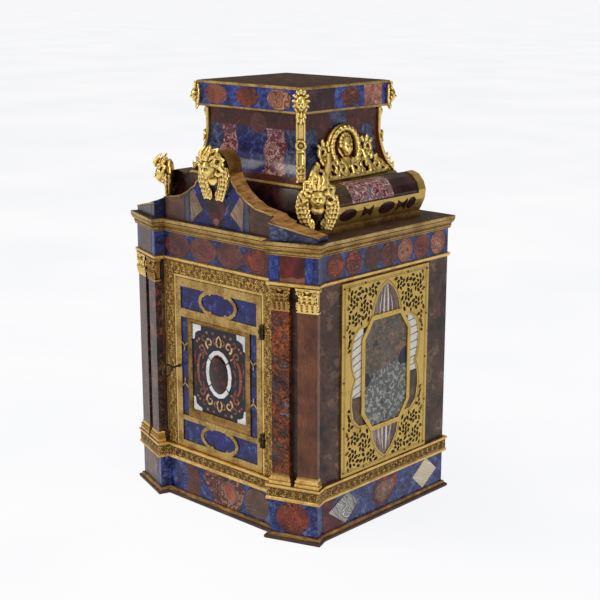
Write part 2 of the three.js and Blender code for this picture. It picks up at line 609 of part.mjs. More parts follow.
// A calm child's head on plain proportions: eyes at half height, nose a quarter below, mouth above the chin.
function childHead(halfWidth, halfHeight, depth, across, down) {
  const geometry = closed(new THREE.SphereGeometry(1, across, down));
  const position = geometry.getAttribute('position');
  for (let i = 0; i < position.count; i += 1) {
    const [x, y, z] = [position.getX(i), position.getY(i), position.getZ(i)];
    let swelling = 0;
    if (z > 0) {
      swelling += 0.2 * swell(x, y, 0, -0.22, 0.14, 0.2);
      swelling -= 0.09 * (swell(x, y, 0.36, 0.02, 0.22, 0.16) + swell(x, y, -0.36, 0.02, 0.22, 0.16));
      swelling += 0.07 * (swell(x, y, 0.45, -0.36, 0.3, 0.25) + swell(x, y, -0.45, -0.36, 0.3, 0.25));
      swelling += 0.08 * swell(x, y, 0, -0.86, 0.3, 0.16);
    }
    const narrow = 1 - 0.16 * Math.max(0, -y);
    const outward = z * depth * (1 + swelling) + swelling * depth * 0.4;
    position.setXYZ(i, x * halfWidth * narrow, y * halfHeight, outward);
  }
  return solidOf(geometry);
}

function lump(x, y, z, radius) {
  return solidOf(new THREE.IcosahedronGeometry(radius, 0).translate(x, y, z));
}

// Feathers in overlapping rows: each row is a scalloped fan from the shoulder to the tip.
function wing(sign, shoulder, tip, width, rowsOf) {
  const axis = new THREE.Vector2(tip[0] - shoulder[0], tip[1] - shoulder[1]);
  const side = new THREE.Vector2(-axis.y, axis.x).normalize();
  const rows = rowsOf.map(([share, feathers, z0, z1]) => {
    const at = (along01, out) => {
      const breadth = Math.sin(Math.PI * Math.min(1, 0.18 + along01 * 0.86)) ** 0.6 * width * out;
      const bend = Math.sin(along01 * Math.PI) * 0.12 * width;
      return [sign * (shoulder[0] + axis.x * along01 * share + side.x * (breadth + bend)),
        shoulder[1] + axis.y * along01 * share + side.y * (breadth + bend)];
    };
    const points = [];
    for (let i = 0; i <= feathers; i += 1) {
      points.push(at(i / feathers, 0.78));
      if (i < feathers) points.push(at((i + 0.6) / feathers, 1.08));
    }
    points.push(at(1.06, 0), at(0.5, -0.55), at(0.02, -0.4));
    return raised(outline(sign > 0 ? points : points.toReversed()), z0, z1);
  });
  return joined(rows);
}

// A winged head. It stands out of its frame's plane and is cut by what it sits on.
function cherub() {
  const head = childHead(13.5, 16.5, 14, 10, 7).translate(0, 12, 13);
  const body = solidOf(new THREE.SphereGeometry(1, 6, 4).scale(15, 23, 8).translate(0, 5, 3));
  const curls = 4;
  const hair = [];
  for (let i = 0; i <= curls; i += 1) {
    const angle = (Math.PI * i) / curls;
    hair.push(lump(14 * Math.cos(angle), 15 + 16 * Math.sin(angle), 12, 8.6));
  }
  const wings = [-1, 1].map((sign) => (
    wing(sign, [20, 17], [6 + 2 * sign, CHERUB_LOW + 3], 12.5, [[1, 3, 0, 7], [0.6, 2, 0, 10.5]])));
  const held = box(-CHERUB_HALF_WIDTH, CHERUB_HALF_WIDTH, CHERUB_LOW, CHERUB_HIGH, -16, 40);
  return joined([head, body, ...hair, ...wings]).intersect(held);
}

const MIDDLE_CHERUB_Z = 486;
const CORNER_CHERUB = { x: 143, y: -88, z: 457.5 };
const crestFace = wallFrame(0, FRONT_Y + JOINT_GAP, MIDDLE_CHERUB_Z, 0);
add('cherub_middle', casting(cherub().intersect(box(-40, 40, -60, 60, 0, 60))), gilt, crestFace);

const overCornice = CORNICE_REACH + JOINT_GAP;
const corniceRoom = course([[overCornice, DECK - 6], [overCornice, DECK + JOINT_GAP]]);
const filletRoom = loft([neckRow(109.6, CUSHION_DECK - 1), neckRow(109.6, NECK_FOOT)]);
const upperStage = cushionBody(JOINT_GAP).add(neckBody(JOINT_GAP)).add(filletRoom);
const supports = upperStage.add(pediment).add(corniceRoom);
for (const [side, sideName] of [[1, 'right'], [-1, 'left']]) {
  const holder = wallFrame(side * CORNER_CHERUB.x, CORNER_CHERUB.y, CORNER_CHERUB.z, side * Math.PI / 4);
  add(`cherub_${sideName}`, casting(cherub().subtract(seenFrom(holder, supports))), gilt, holder);
}

// Corner mounts of the neck and block: a strip up each corner, a ring half way, and a mask on the block
function neckHalfAt(z) {
  const next = NECK_PROFILE.findIndex(([, height]) => height >= z);
  const [lowHalf, low] = NECK_PROFILE[Math.max(0, next - 1)];
  const [highHalf, high] = NECK_PROFILE[next];
  return high === low ? highHalf : lowHalf + ((highHalf - lowHalf) * (z - low)) / (high - low);
}

// How far the neck's corner lies behind the block's corner, straight out along the diagonal.
function cornerOut(z) {
  return (neckHalfAt(z) - BLOCK_HALF_WIDTH) * Math.SQRT2;
}

// One corner mount in a frame at the block's corner: x across the corner, z straight out of it.
function cornerMount() {
  const heights = [476, 484, 496, 512, 563];
  const section = [[-6.6, -1], [-5, -2.6], [5, -2.6], [6.6, -1], [6.6, 8], [-6.6, 8]];
  const rows = heights.map((z) => section.map(([x, y]) => new THREE.Vector3(x, y - cornerOut(z), z)));
  const strip = standing(loft(rows));
  const ring = solidOf(new THREE.TorusGeometry(6, 2, 3, 8).translate(0, 523, cornerOut(523) + 3));
  const rosette = lump(0, 488, cornerOut(488) - 0.5, 7.5);
  const beard = lump(0, 557, -6, 9.5);
  const mask = childHead(10.5, 17.5, 9, 8, 7).translate(0, 580, 1.5);
  const whole = joined([strip, ring, rosette, beard, mask]);
  return whole.intersect(box(-30, 30, 474, TOP, -30, 30));
}

const blockMargin = loft([blockRow(1.3, BLOCK_FOOT - 0.3), blockRow(1.3, TOP + 2)]);
const cornerNeighbours = neckBody(JOINT_GAP).add(blockMargin);
const corners = { front_right: [1, -1], front_left: [-1, -1], back_right: [1, 1], back_left: [-1, 1] };
for (const [name, [sx, sy]] of Object.entries(corners)) {
  const x = sx * BLOCK_HALF_WIDTH;
  const y = UPPER_Y + sy * (BLOCK_HALF_WIDTH - DEPTH_LESS);
  const turn = Math.atan2(sx, -sy);
  const holder = wallFrame(x, y, 0, turn);
  const mount = casting(cornerMount().subtract(seenFrom(holder, cornerNeighbours)));
  add(`corner_mount_${name}`, mount, gilt, holder);
}

// Side cartouches: an openwork of scrolls round a small head, on each flank of the neck
const CARTOUCHE_EDGE = [[87, 0.6], [75, 9], [73, 20], [66, 26], [69, 37], [65, 50], [50, 51], [44, 41],
  [38, 43], [37, 57], [31, 69], [26, 60], [18, 67], [8, 72]];
const CARTOUCHE_HOLES = [[17.5, 30, 3, 7], [55, 39, 4, 4.5], [57, 15, 8, 6], [36, 24, 4, 8]];

function cartouche() {
  const whole = outline([...CARTOUCHE_EDGE, ...CARTOUCHE_EDGE.toReversed().map(([x, y]) => [-x, y])]);
  const dish = raised(outline(ellipse(16, 22, 42, 10)), 4.6, 30);
  const oval = raised(outline(ellipse(21, 27, 42, 10)), 0, 7).subtract(dish);
  const lumps = [-1, 1].flatMap((side) => [lump(side * 14, 11, 3, 9.5), lump(side * 61, 44, 3, 7)]);
  const head = childHead(10, 14, 9, 8, 6).translate(0, 41, 4);
  let work = joined([raised(whole, 0, 4.6), oval, ...lumps, head]);
  for (const [x, y, halfX, halfY] of CARTOUCHE_HOLES) {
    for (const side of [-1, 1]) {
      const hole = raised(outline(ellipse(halfX, halfY, y, 5)), -1, 30);
      work = work.subtract(hole.translate(side * x, 0, 0));
    }
  }
  return work.intersect(box(-90, 90, 0.6, 73, 0, 20));
}

// The flat work bent to the neck's hollow flank.
function bentToNeck(solid) {
  const geometry = geometryOf(solid);
  const position = geometry.getAttribute('position');
  const foot = neckHalfAt(NECK_FOOT);
  for (let i = 0; i < position.count; i += 1) {
    const z = NECK_FOOT + Math.max(0, position.getY(i));
    position.setZ(i, position.getZ(i) + neckHalfAt(z) - foot);
  }
  return solidOf(geometry);
}

for (const [side, sideName] of [[1, 'right'], [-1, 'left']]) {
  const holder = wallFrame(side * 106.4, UPPER_Y, NECK_FOOT, side * Math.PI / 2);
  const work = bentToNeck(cartouche()).subtract(seenFrom(holder, neckBody(JOINT_GAP)));
  add(`cartouche_${sideName}`, casting(work), gilt, holder);
}

export default tabernacle;
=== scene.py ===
import math

import bmesh
import bpy
import numpy as np
from mathutils import Matrix, Vector


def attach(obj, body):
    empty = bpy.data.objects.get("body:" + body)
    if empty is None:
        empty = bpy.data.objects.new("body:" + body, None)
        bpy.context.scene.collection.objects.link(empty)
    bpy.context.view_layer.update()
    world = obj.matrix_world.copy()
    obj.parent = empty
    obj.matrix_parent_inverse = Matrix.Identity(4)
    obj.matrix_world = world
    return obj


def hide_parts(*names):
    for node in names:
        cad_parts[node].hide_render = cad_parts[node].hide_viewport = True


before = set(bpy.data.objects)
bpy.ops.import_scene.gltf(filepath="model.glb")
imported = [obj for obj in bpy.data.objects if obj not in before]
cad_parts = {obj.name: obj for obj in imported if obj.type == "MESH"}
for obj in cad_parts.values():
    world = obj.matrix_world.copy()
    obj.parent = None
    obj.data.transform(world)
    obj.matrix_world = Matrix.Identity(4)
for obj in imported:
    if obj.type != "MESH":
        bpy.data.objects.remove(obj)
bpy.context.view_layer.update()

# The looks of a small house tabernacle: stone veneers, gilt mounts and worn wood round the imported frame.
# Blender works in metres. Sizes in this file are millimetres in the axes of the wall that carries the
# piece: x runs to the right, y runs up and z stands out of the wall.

# Camera, floor and light
# The object stands in a studio on seamless pale paper, seen from the right of its front and a little
# above, under large soft lamps that leave only a faint shadow.
CAMERA_PLACE = (1.24912, -1.29885, 0.74049)
CAMERA_AZIMUTH = 43.20
CAMERA_PITCH = 14.17
CAMERA_LENS = 77.13

camera_data = bpy.data.cameras.new("camera")
camera_data.lens = CAMERA_LENS
camera_data.sensor_width = 36
camera_data.clip_end = 60
camera = bpy.data.objects.new("camera", camera_data)
camera.location = CAMERA_PLACE
camera.rotation_euler = (math.radians(90 - CAMERA_PITCH), 0, math.radians(CAMERA_AZIMUTH))
bpy.context.scene.collection.objects.link(camera)
bpy.context.scene.camera = camera
bpy.context.scene.view_settings.view_transform = "Standard"


class Value:
    """A shader socket. An expression on it adds the Math nodes that work it out."""

    def __init__(self, finish, socket):
        self.finish = finish
        self.socket = socket

    def math(self, operation, first, second):
        return self.finish.node("Math", {"operation": operation}, {0: first, 1: second})

    def __add__(self, other):
        return self.math("ADD", self, other)

    def __radd__(self, other):
        return self.math("ADD", other, self)

    def __sub__(self, other):
        return self.math("SUBTRACT", self, other)

    def __rsub__(self, other):
        return self.math("SUBTRACT", other, self)

    def __mul__(self, other):
        return self.math("MULTIPLY", self, other)

    def __rmul__(self, other):
        return self.math("MULTIPLY", other, self)

    def __truediv__(self, other):
        return self.math("DIVIDE", self, other)

    def __pow__(self, other):
        return self.math("POWER", self, other)

    def above(self, edge, width):
        """0 below the edge and 1 above it, with a soft step of that width."""
        step = {"Value": self, "From Min": edge - width / 2, "From Max": edge + width / 2}
        return self.finish.node("MapRange", {"interpolation_type": "SMOOTHSTEP"}, step)


def tint(red, green, blue):
    """A colour as it is seen, 0 to 255, as the linear colour that a shader takes."""
    seen = [value / 255 for value in (red, green, blue)]
    return (*(v / 12.92 if v <= 0.04045 else ((v + 0.055) / 1.055) ** 2.4 for v in seen), 1.0)


class Finish:
    """One surface finish: a Principled shader and the nodes that feed it."""

    def __init__(self, name, **plain):
        self.material = bpy.data.materials.new(name)
        self.material.use_nodes = True
        self.tree = self.material.node_tree
        self.shader = self.tree.nodes["Principled BSDF"]
        for socket, value in plain.items():
            self.shader.inputs[socket.replace("_", " ")].default_value = value
        self.place = self.node("TexCoord", {}, {}, "Object")

    def node(self, kind, settings, sockets, output=0):
        made = self.tree.nodes.new("ShaderNode" + kind)
        for name, value in settings.items():
            if name == "stops":
                for _ in value[2:]:
                    made.color_ramp.elements.new(1.0)
                for element, (position, colour) in zip(made.color_ramp.elements, value):
                    element.position = position
                    element.color = colour
            else:
                setattr(made, name, value)
        for name, value in sockets.items():
            if isinstance(value, Value):
                self.tree.links.new(value.socket, made.inputs[name])
            else:
                made.inputs[name].default_value = value
        return Value(self, made.outputs[output])

    def feed(self, **varying):
        for name, value in varying.items():
            self.tree.links.new(value.socket, self.shader.inputs[name.replace("_", " ")])
        return self

    def mix(self, first, second, share):
        return self.node("Mix", {"data_type": "RGBA"}, {0: share, 6: first, 7: second}, 2)

    def noise(self, scale, detail=3.0, place=None, roughness=0.55):
        sockets = {"Vector": place or self.place, "Scale": scale, "Detail": detail, "Roughness": roughness}
        return self.node("TexNoise", {}, sockets)

    def moved(self, amount, scale, seed=0.0):
        """The place, pushed about by a slow noise, so that what follows it wanders."""
        shifted = self.node("VectorMath", {}, {0: self.place, 1: (seed, seed * 0.7, seed * 1.3)})
        push = self.node("TexNoise", {}, {"Vector": shifted, "Scale": scale, "Detail": 2.0}, "Color")
        centred = self.node("VectorMath", {"operation": "SUBTRACT"}, {0: push, 1: (0.5, 0.5, 0.5)})
        pushed = self.node("VectorMath", {"operation": "SCALE"}, {0: centred, "Scale": amount})
        return self.node("VectorMath", {}, {0: shifted, 1: pushed})

    def ramp(self, value, colours):
        """Colours over the range that a noise covers, or each at its own place where that is given."""
        spread = [(0.36 + 0.28 * i / (len(colours) - 1), c) if len(c) == 4 else c
            for i, c in enumerate(colours)]
        return self.node("ValToRGB", {"stops": spread}, {"Fac": value})

    def bump(self, height, strength, distance):
        return self.node("Bump", {}, {"Height": height, "Strength": strength, "Distance": distance},
            "Normal")


paper = Finish("studio_paper", Roughness=0.9, Specular_IOR_Level=0.05, Emission_Strength=0.93)
paper_cloud = paper.noise(1.5, 2.0)
paper.feed(
    Base_Color=paper.ramp(paper_cloud, [tint(90, 91, 94), tint(95, 96, 99)]),
    Emission_Color=paper.ramp(paper_cloud, [tint(246, 247, 250), tint(250, 250, 252)]),
)

FLOOR_REACH = 60.0
floor_mesh = bpy.data.meshes.new("floor")
floor_corners = [(x * FLOOR_REACH, y * FLOOR_REACH, 0.0) for x, y in ((-1, -1), (1, -1), (1, 1), (-1, 1))]
floor_mesh.from_pydata(floor_corners, [], [(0, 1, 2, 3)])
floor_mesh.materials.append(paper.material)
floor = bpy.data.objects.new("floor", floor_mesh)
bpy.context.scene.collection.objects.link(floor)

world = bpy.data.worlds.new("studio")
world.use_nodes = True
sky_nodes, sky_links = world.node_tree.nodes, world.node_tree.links
sky_ramp = sky_nodes.new("ShaderNodeValToRGB")
sky_height = sky_nodes.new("ShaderNodeSeparateXYZ")
sky_links.new(sky_nodes.new("ShaderNodeTexCoord").outputs["Generated"], sky_height.inputs[0])
sky_links.new(sky_height.outputs["Z"], sky_ramp.inputs["Fac"])
sky_links.new(sky_ramp.outputs["Color"], sky_nodes["Background"].inputs["Color"])
sky_ramp.color_ramp.elements[0].color = (0.03, 0.026, 0.02, 1)
sky_ramp.color_ramp.elements[1].color = (1.0, 0.95, 0.84, 1)
sky_ramp.color_ramp.elements[0].position = 0.04
sky_ramp.color_ramp.elements[1].position = 0.75
sky_nodes["Background"].inputs["Strength"].default_value = 0.55
bpy.context.scene.world = world

LAMPS = {
    "overhead": ((-0.6, -0.9, 3.4), 1.8, 32), "front_left": ((-1.7, -2.0, 1.5), 0.45, 15),
    "right": ((2.2, -0.5, 1.3), 0.4, 13),
}
for lamp_name, (lamp_place, lamp_size, lamp_power) in LAMPS.items():
    lamp_data = bpy.data.lights.new(lamp_name, "AREA")
    lamp_data.size = lamp_size
    lamp_data.energy = lamp_power
    lamp_data.color = (1.0, 0.93, 0.8)
    lamp = bpy.data.objects.new(lamp_name, lamp_data)
    lamp.location = lamp_place
    aim = Vector((0, 0, 0.3)) - Vector(lamp_place)
    lamp.rotation_euler = aim.to_track_quat("-Z", "Y").to_euler()
    bpy.context.scene.collection.objects.link(lamp)

# Wooden foot
# A moulded board of dark hardwood under the whole cabinet. Its upper fillet is gilded and rubbed
# down to ochre, its rounded lower edge is dark brown, and its lengths meet in butt joints.
MM = 0.001


def wood(name, colours, grain_scale, roughness):
    """Stained wood: stretched grain, pores along it and rubbed patches."""
    finish = Finish(name)
    stretched = finish.node("Mapping", {}, {"Vector": finish.moved(0.004, 40), "Scale": (1, 1, 7)})
    grain = finish.noise(grain_scale, 6.0, stretched, 0.65)
    wear = finish.noise(55, 4.0)
    colour = finish.ramp(grain * 0.7 + wear * 0.3, colours)
    worn = wear.above(0.6, 0.12) * 0.35
    finish.feed(
        Base_Color=finish.mix(colour, colours[-1], worn), Roughness=roughness + 0.2 * grain,
        Normal=finish.bump(grain + 0.5 * finish.noise(900, 2.0), 0.5, 0.0006),
    )
    return finish


def dress(nodes, *finishes, rule=None):
    """Puts finishes on CAD nodes. The rule gives a face's finish number from its centre and normal."""
    for node_name in nodes:
        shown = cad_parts[node_name]
        mesh = shown.data
        mesh.materials.clear()
        for finish in finishes:
            mesh.materials.append(finish.material)
        for face in mesh.polygons:
            face.use_smooth = True
            face.material_index = rule(Vector(face.center) / MM, face.normal) if rule else 0
        weld = shown.modifiers.new("weld", "WELD")
        weld.merge_threshold = 0.00002
        split = shown.modifiers.new("sharp_edges", "EDGE_SPLIT")
        split.split_angle = math.radians(34)


dark_wood = wood("dark_wood", [tint(24, 15, 12), tint(58, 36, 26), tint(92, 62, 40)], 130, 0.5)
ochre_wood = wood("rubbed_gilding", [tint(70, 46, 22), tint(138, 98, 46), tint(190, 150, 82)], 90, 0.4)
FOOT_FILLET = 5.7
dress(["base_board"], dark_wood, ochre_wood, rule=lambda centre, normal: int(centre.z > FOOT_FILLET))

# Plinth
# Thin lapis lazuli plates are glued over the wooden plinth, with pieces of agate and jasper let into
# them: ovals on the piers, three large agates in front, and lozenges along the sides.
HALF_WIDTH = 172.5
FRONT_Y = -133.8
BAY_HALF = 107.4
PIER_TURN = 19.8
PIER_WIDTH = 69.6
PIER_PROUD = 14.5
pier_out = Vector((math.sin(math.radians(PIER_TURN)), -math.cos(math.radians(PIER_TURN))))
pier_along = Vector((-pier_out.y, pier_out.x))
pier_inner = Vector((BAY_HALF, FRONT_Y)) + pier_out * PIER_PROUD
pier_middle = pier_inner + pier_along * PIER_WIDTH / 2
PROUD = 0.25


def wall(x, y, turn, z=0.0):
    """The axes of an upright face in millimetres, turned from the front by so many degrees."""
    place = Matrix.Translation((x * MM, y * MM, z * MM)) @ Matrix.Rotation(math.radians(turn), 4, "Z")
    return place @ Matrix.Rotation(math.radians(90), 4, "X") @ Matrix.Scale(MM, 4)


FRONT = wall(0, FRONT_Y, 0)
RIGHT_PIER = wall(pier_middle.x, pier_middle.y, PIER_TURN)
LEFT_PIER = wall(-pier_middle.x, pier_middle.y, -PIER_TURN)
RIGHT_SIDE = wall(HALF_WIDTH, 0, 90)
LEFT_SIDE = wall(-HALF_WIDTH, 0, -90)


def piece(name, points, faces, finishes, body="cabinet", finish_of=None, smooth=False):
    """A piece of the object from points in metres. It rides on its body."""
    mesh = bpy.data.meshes.new(name)
    mesh.from_pydata([tuple(p) for p in points], [], faces)
    for finish in finishes:
        mesh.materials.append(finish.material)
    if finish_of:
        mesh.polygons.foreach_set("material_index", finish_of)
    mesh.polygons.foreach_set("use_smooth", [smooth] * len(mesh.polygons))
    mesh.validate()
    made = bpy.data.objects.new(name, mesh)
    bpy.context.scene.collection.objects.link(made)
    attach(made, body)
    return made


def inset(points, amount):
    """An outline drawn in from its edge by about that amount, towards its own middle."""
    middle = [sum(axis) / len(points) for axis in zip(*points)]
    drawn = []
    for x, y in points:
        reach = math.hypot(x - middle[0], y - middle[1]) or 1
        share = 1 - amount / reach
        drawn.append((middle[0] + (x - middle[0]) * share, middle[1] + (y - middle[1]) * share))
    return drawn


def inlay(name, parts, body="cabinet"):
    """Flat stones let into walls. Each part is (wall, outline in mm, finish), and may add its height."""
    points, faces, numbers, finishes = [], [], [], []
    for place, drawn, finish, *height in parts:
        top = height[0] if height else PROUD
        if finish not in finishes:
            finishes.append(finish)
        area = sum(a[0] * b[1] - b[0] * a[1] for a, b in zip(drawn, drawn[1:] + drawn[:1]))
        loop = drawn if area > 0 else drawn[::-1]
        start, count = len(points), len(loop)
        for ring, level in ((loop, -0.1), (loop, top * 0.6), (inset(loop, 0.2), top)):
            points.extend(place @ Vector((x, y, level)) for x, y in ring)
        for row in range(2):
            low = start + row * count
            faces.extend((low + i, low + (i + 1) % count, low + count + (i + 1) % count, low + count + i)
                for i in range(count))
        faces.append(tuple(range(start + 2 * count, start + 3 * count)))
        faces.append(tuple(reversed(range(start, start + count))))
        numbers.extend([finishes.index(finish)] * (2 * count + 2))
    return piece(name, points, faces, finishes, body, numbers)


def oval(x, y, half_x, half_y, count=28, wobble=0.0):
    """An oval outline, a little uneven where it was cut by hand."""
    points = []
    for i in range(count):
        angle = 2 * math.pi * i / count
        reach = 1 + wobble * (math.sin(3 * angle + x) + 0.6 * math.sin(5 * angle + y))
        points.append((x + half_x * reach * math.cos(angle), y + half_y * reach * math.sin(angle)))
    return points


def block(x0, x1, y0, y1):
    return [(x0, y0), (x1, y0), (x1, y1), (x0, y1)]


def polished(finish, colour, roughness, aged=1.0, depth=0.00012):
    """The common look of a veneered stone: waxed, a fine haze, and old varnish in cloudy patches."""
    haze = finish.noise(380, 3.0)
    varnish = finish.ramp(finish.noise(31, 4.0), [tint(158, 138, 120), tint(226, 208, 188)])
    finish.shader.inputs["Specular IOR Level"].default_value = 0.32
    finish.feed(
        Base_Color=finish.node("Mix", {"data_type": "RGBA", "blend_type": "MULTIPLY"}, {0: aged, 6: colour,
                7: varnish}, 2),
        Roughness=roughness + 0.22 * haze,
        Normal=finish.bump(finish.noise(140, 3.0) + 0.3 * haze, 0.35, depth),
    )
    return finish


def lapis_stone(name, deep, light, cloud=75, speck=0.6, seed=0.0):
    """Lapis lazuli: deep blue clouds with black patches, grey-blue veins and pale specks."""
    finish = Finish(name)
    wandering = finish.moved(0.04, 60, seed)
    clouds = finish.noise(cloud, 7.0, wandering, 0.7)
    blue = finish.ramp(clouds, [(0.36, tint(9, 11, 34)), (0.47, deep), (0.55, light),
            (0.64, tint(100, 122, 176))])
    pale = finish.noise(460, 3.0, wandering, 0.75).above(speck, 0.08) * clouds.above(0.46, 0.14)
    return polished(finish, finish.mix(blue, tint(168, 178, 190), pale * 0.7), 0.14, 0.55)


def agate(name, colours, centre, size, rings=3.0, warp=0.02, seed=0.0):
    """Banded agate: wavering rings round an eye. The centre is in metres, the size in mm."""
    finish = Finish(name)
    wandering = finish.moved(warp * 2.6, 46, seed)
    shift = Vector((seed, seed * 0.7, seed * 1.3))
    gap = finish.node("VectorMath", {"operation": "DISTANCE"}, {0: wandering, 1: tuple(centre + shift)},
        "Value")
    reach = gap / (size * MM)
    cloud = finish.noise(90, 5.0, wandering, 0.7)
    slow = finish.noise(52, 0.0, wandering)
    rings_at = reach * rings * 1.35 + slow * 4.0 + cloud * 0.35 + seed
    wide = finish.node("TexNoise", {"noise_dimensions": "1D"}, {"W": rings_at, "Scale": 1.3, "Detail": 0.0})
    fine = finish.node("TexNoise", {"noise_dimensions": "1D"}, {"W": rings_at * 4.0, "Scale": 1.3,
            "Detail": 1.0})
    tone = 0.5 + (wide - 0.5) * 4.4 + (fine - 0.5) * 2.2 + (cloud - 0.5) * 0.35
    return polished(finish, finish.ramp(tone, colours), 0.13)


def banded(name, colours, direction, scale, warp=0.01, seed=0.0, aged=1.0):
    """Banded stone: uneven parallel bands across one direction."""
    finish = Finish(name)
    wandering = finish.moved(warp * 2, 38, seed)
    across = finish.node("VectorMath", {"operation": "DOT_PRODUCT"}, {0: wandering, 1: direction}, "Value")
    bands = finish.node("TexNoise", {"noise_dimensions": "1D"}, {"W": across * scale, "Detail": 4.0,
            "Roughness": 0.6})
    cloud = finish.noise(110, 5.0, wandering, 0.65)
    return polished(finish, finish.ramp(bands * 0.8 + cloud * 0.2, colours), 0.15, aged)


def breccia(name, colours, scale, vein, warp=0.012, seed=0.0, vein_width=0.055, aged=1.0):
    """Broken stone: angular patches of several colours, with veins between them."""
    finish = Finish(name)
    wandering = finish.moved(warp, 70, seed)
    patch = finish.node("TexVoronoi", {}, {"Vector": wandering, "Scale": scale}, "Color")
    number = finish.node("SeparateXYZ", {}, {"Vector": patch}, "X")
    cloud = finish.noise(scale * 1.6, 5.0, wandering, 0.65)
    colour = finish.ramp(number * 0.3 + cloud * 0.8 - 0.02, colours)
    edges = {"Vector": wandering, "Scale": scale}
    edge = finish.node("TexVoronoi", {"feature": "DISTANCE_TO_EDGE"}, edges, "Distance")
    seam = 1 - edge.above(vein_width, vein_width)
    return polished(finish, finish.mix(colour, vein, seam * 0.8), 0.15, aged)


def mottled(name, colours, scale, seed=0.0, speck=None, polish=0.18, aged=1.0):
    """Clouded stone, with specks where a speck colour is given."""
    finish = Finish(name)
    wandering = finish.moved(0.01, 50, seed)
    cloud = finish.noise(scale, 6.0, wandering, 0.66)
    colour = finish.ramp(cloud, colours)
    if speck:
        grains = finish.noise(620, 3.0, wandering, 0.75).above(0.56, 0.1)
        colour = finish.mix(colour, speck, grains * 0.8)
    return polished(finish, colour, polish, aged)


def at(place, x, y):
    """The point of a wall at x, y, in metres."""
    return place @ Vector((x, y, 0))


plinth_lapis = lapis_stone("plinth_lapis", tint(24, 34, 112), tint(44, 66, 160))
dress(["plinth"], plinth_lapis)

REDS = [(0.1, tint(206, 160, 150)), (0.26, tint(150, 60, 50)), (0.42, tint(70, 20, 28)),
    (0.55, tint(150, 66, 52)),
    (0.66, tint(60, 22, 26)), (0.8, tint(176, 120, 112)), (0.92, tint(84, 26, 30))]
BROWNS = [(0.15, tint(150, 130, 120)), (0.35, tint(92, 52, 40)), (0.5, tint(156, 96, 64)),
    (0.62, tint(60, 36, 34)), (0.8, tint(120, 104, 104))]
EYE = (19, 35)
eye_agate = agate("plinth_agate_with_eye", REDS, at(FRONT, *EYE), 34, 2.4, 0.03)
eye_rim = banded("plinth_eye_rim", [tint(205, 190, 184), tint(120, 52, 50), tint(214, 200, 196)],
    (0.7, 0, 0.7), 240)
eye_heart = mottled("plinth_eye_heart", [tint(150, 60, 30), tint(206, 110, 74), tint(222, 150, 130)], 60)
swirl = agate("plinth_brown_swirl", BROWNS, at(FRONT, 82, 24), 30, 3.0, 0.035, 2.0)
red_brown = banded("plinth_red_brown", [tint(70, 28, 30), tint(150, 84, 62), tint(98, 44, 40),
        tint(60, 52, 74)],
    (0.9, 0, 0.4), 70, 0.03)
PIER_FIRE = [(0.15, tint(44, 16, 30)), (0.32, tint(206, 104, 56)), (0.42, tint(226, 140, 90)),
    (0.52, tint(130, 46, 34)), (0.66, tint(80, 26, 34)), (0.82, tint(150, 60, 44))]
pier_oval = agate("plinth_pier_agate", PIER_FIRE, at(RIGHT_PIER, 10, 27), 32, 1.6, 0.05, 3.0)
left_oval = agate("plinth_left_agate", [(0.0, tint(170, 112, 104)), (0.35, tint(128, 72, 70)),
        (0.7, tint(84, 70, 80))],
    at(LEFT_PIER, -2, 34), 26, 2.0, 0.02, 4.0)
grey_stone = mottled("plinth_dark_grey", [tint(44, 46, 58), tint(82, 84, 96), tint(110, 108, 116)], 70)
front_red = mottled("plinth_side_dark_red", [tint(60, 18, 26), tint(104, 36, 44), tint(132, 70, 76)], 90)
zebra = banded("plinth_banded_lozenge", [tint(224, 226, 226), tint(150, 154, 158), tint(20, 22, 26),
        tint(206, 208, 210), tint(236, 236, 234)], (0, 0.75, 0.62), 150, 0.02, aged=0.3)
red_rim = mottled("plinth_red_rim", [tint(96, 28, 36), tint(140, 52, 52), tint(168, 90, 84)], 90)
HEART = [(0.0, tint(116, 116, 124)), (0.3, tint(176, 146, 146)), (0.6, tint(196, 170, 166)),
    (0.9, tint(150, 90, 88))]
heart = agate("plinth_grey_pink", HEART, at(RIGHT_SIDE, 22, 33), 24, 2.6, 0.02, 5.0)
cream = banded("plinth_cream_lozenge", [tint(236, 228, 208), tint(196, 182, 156), tint(240, 234, 218)],
    (0, 0.4, 0.9), 160, 0.006, aged=0.25)

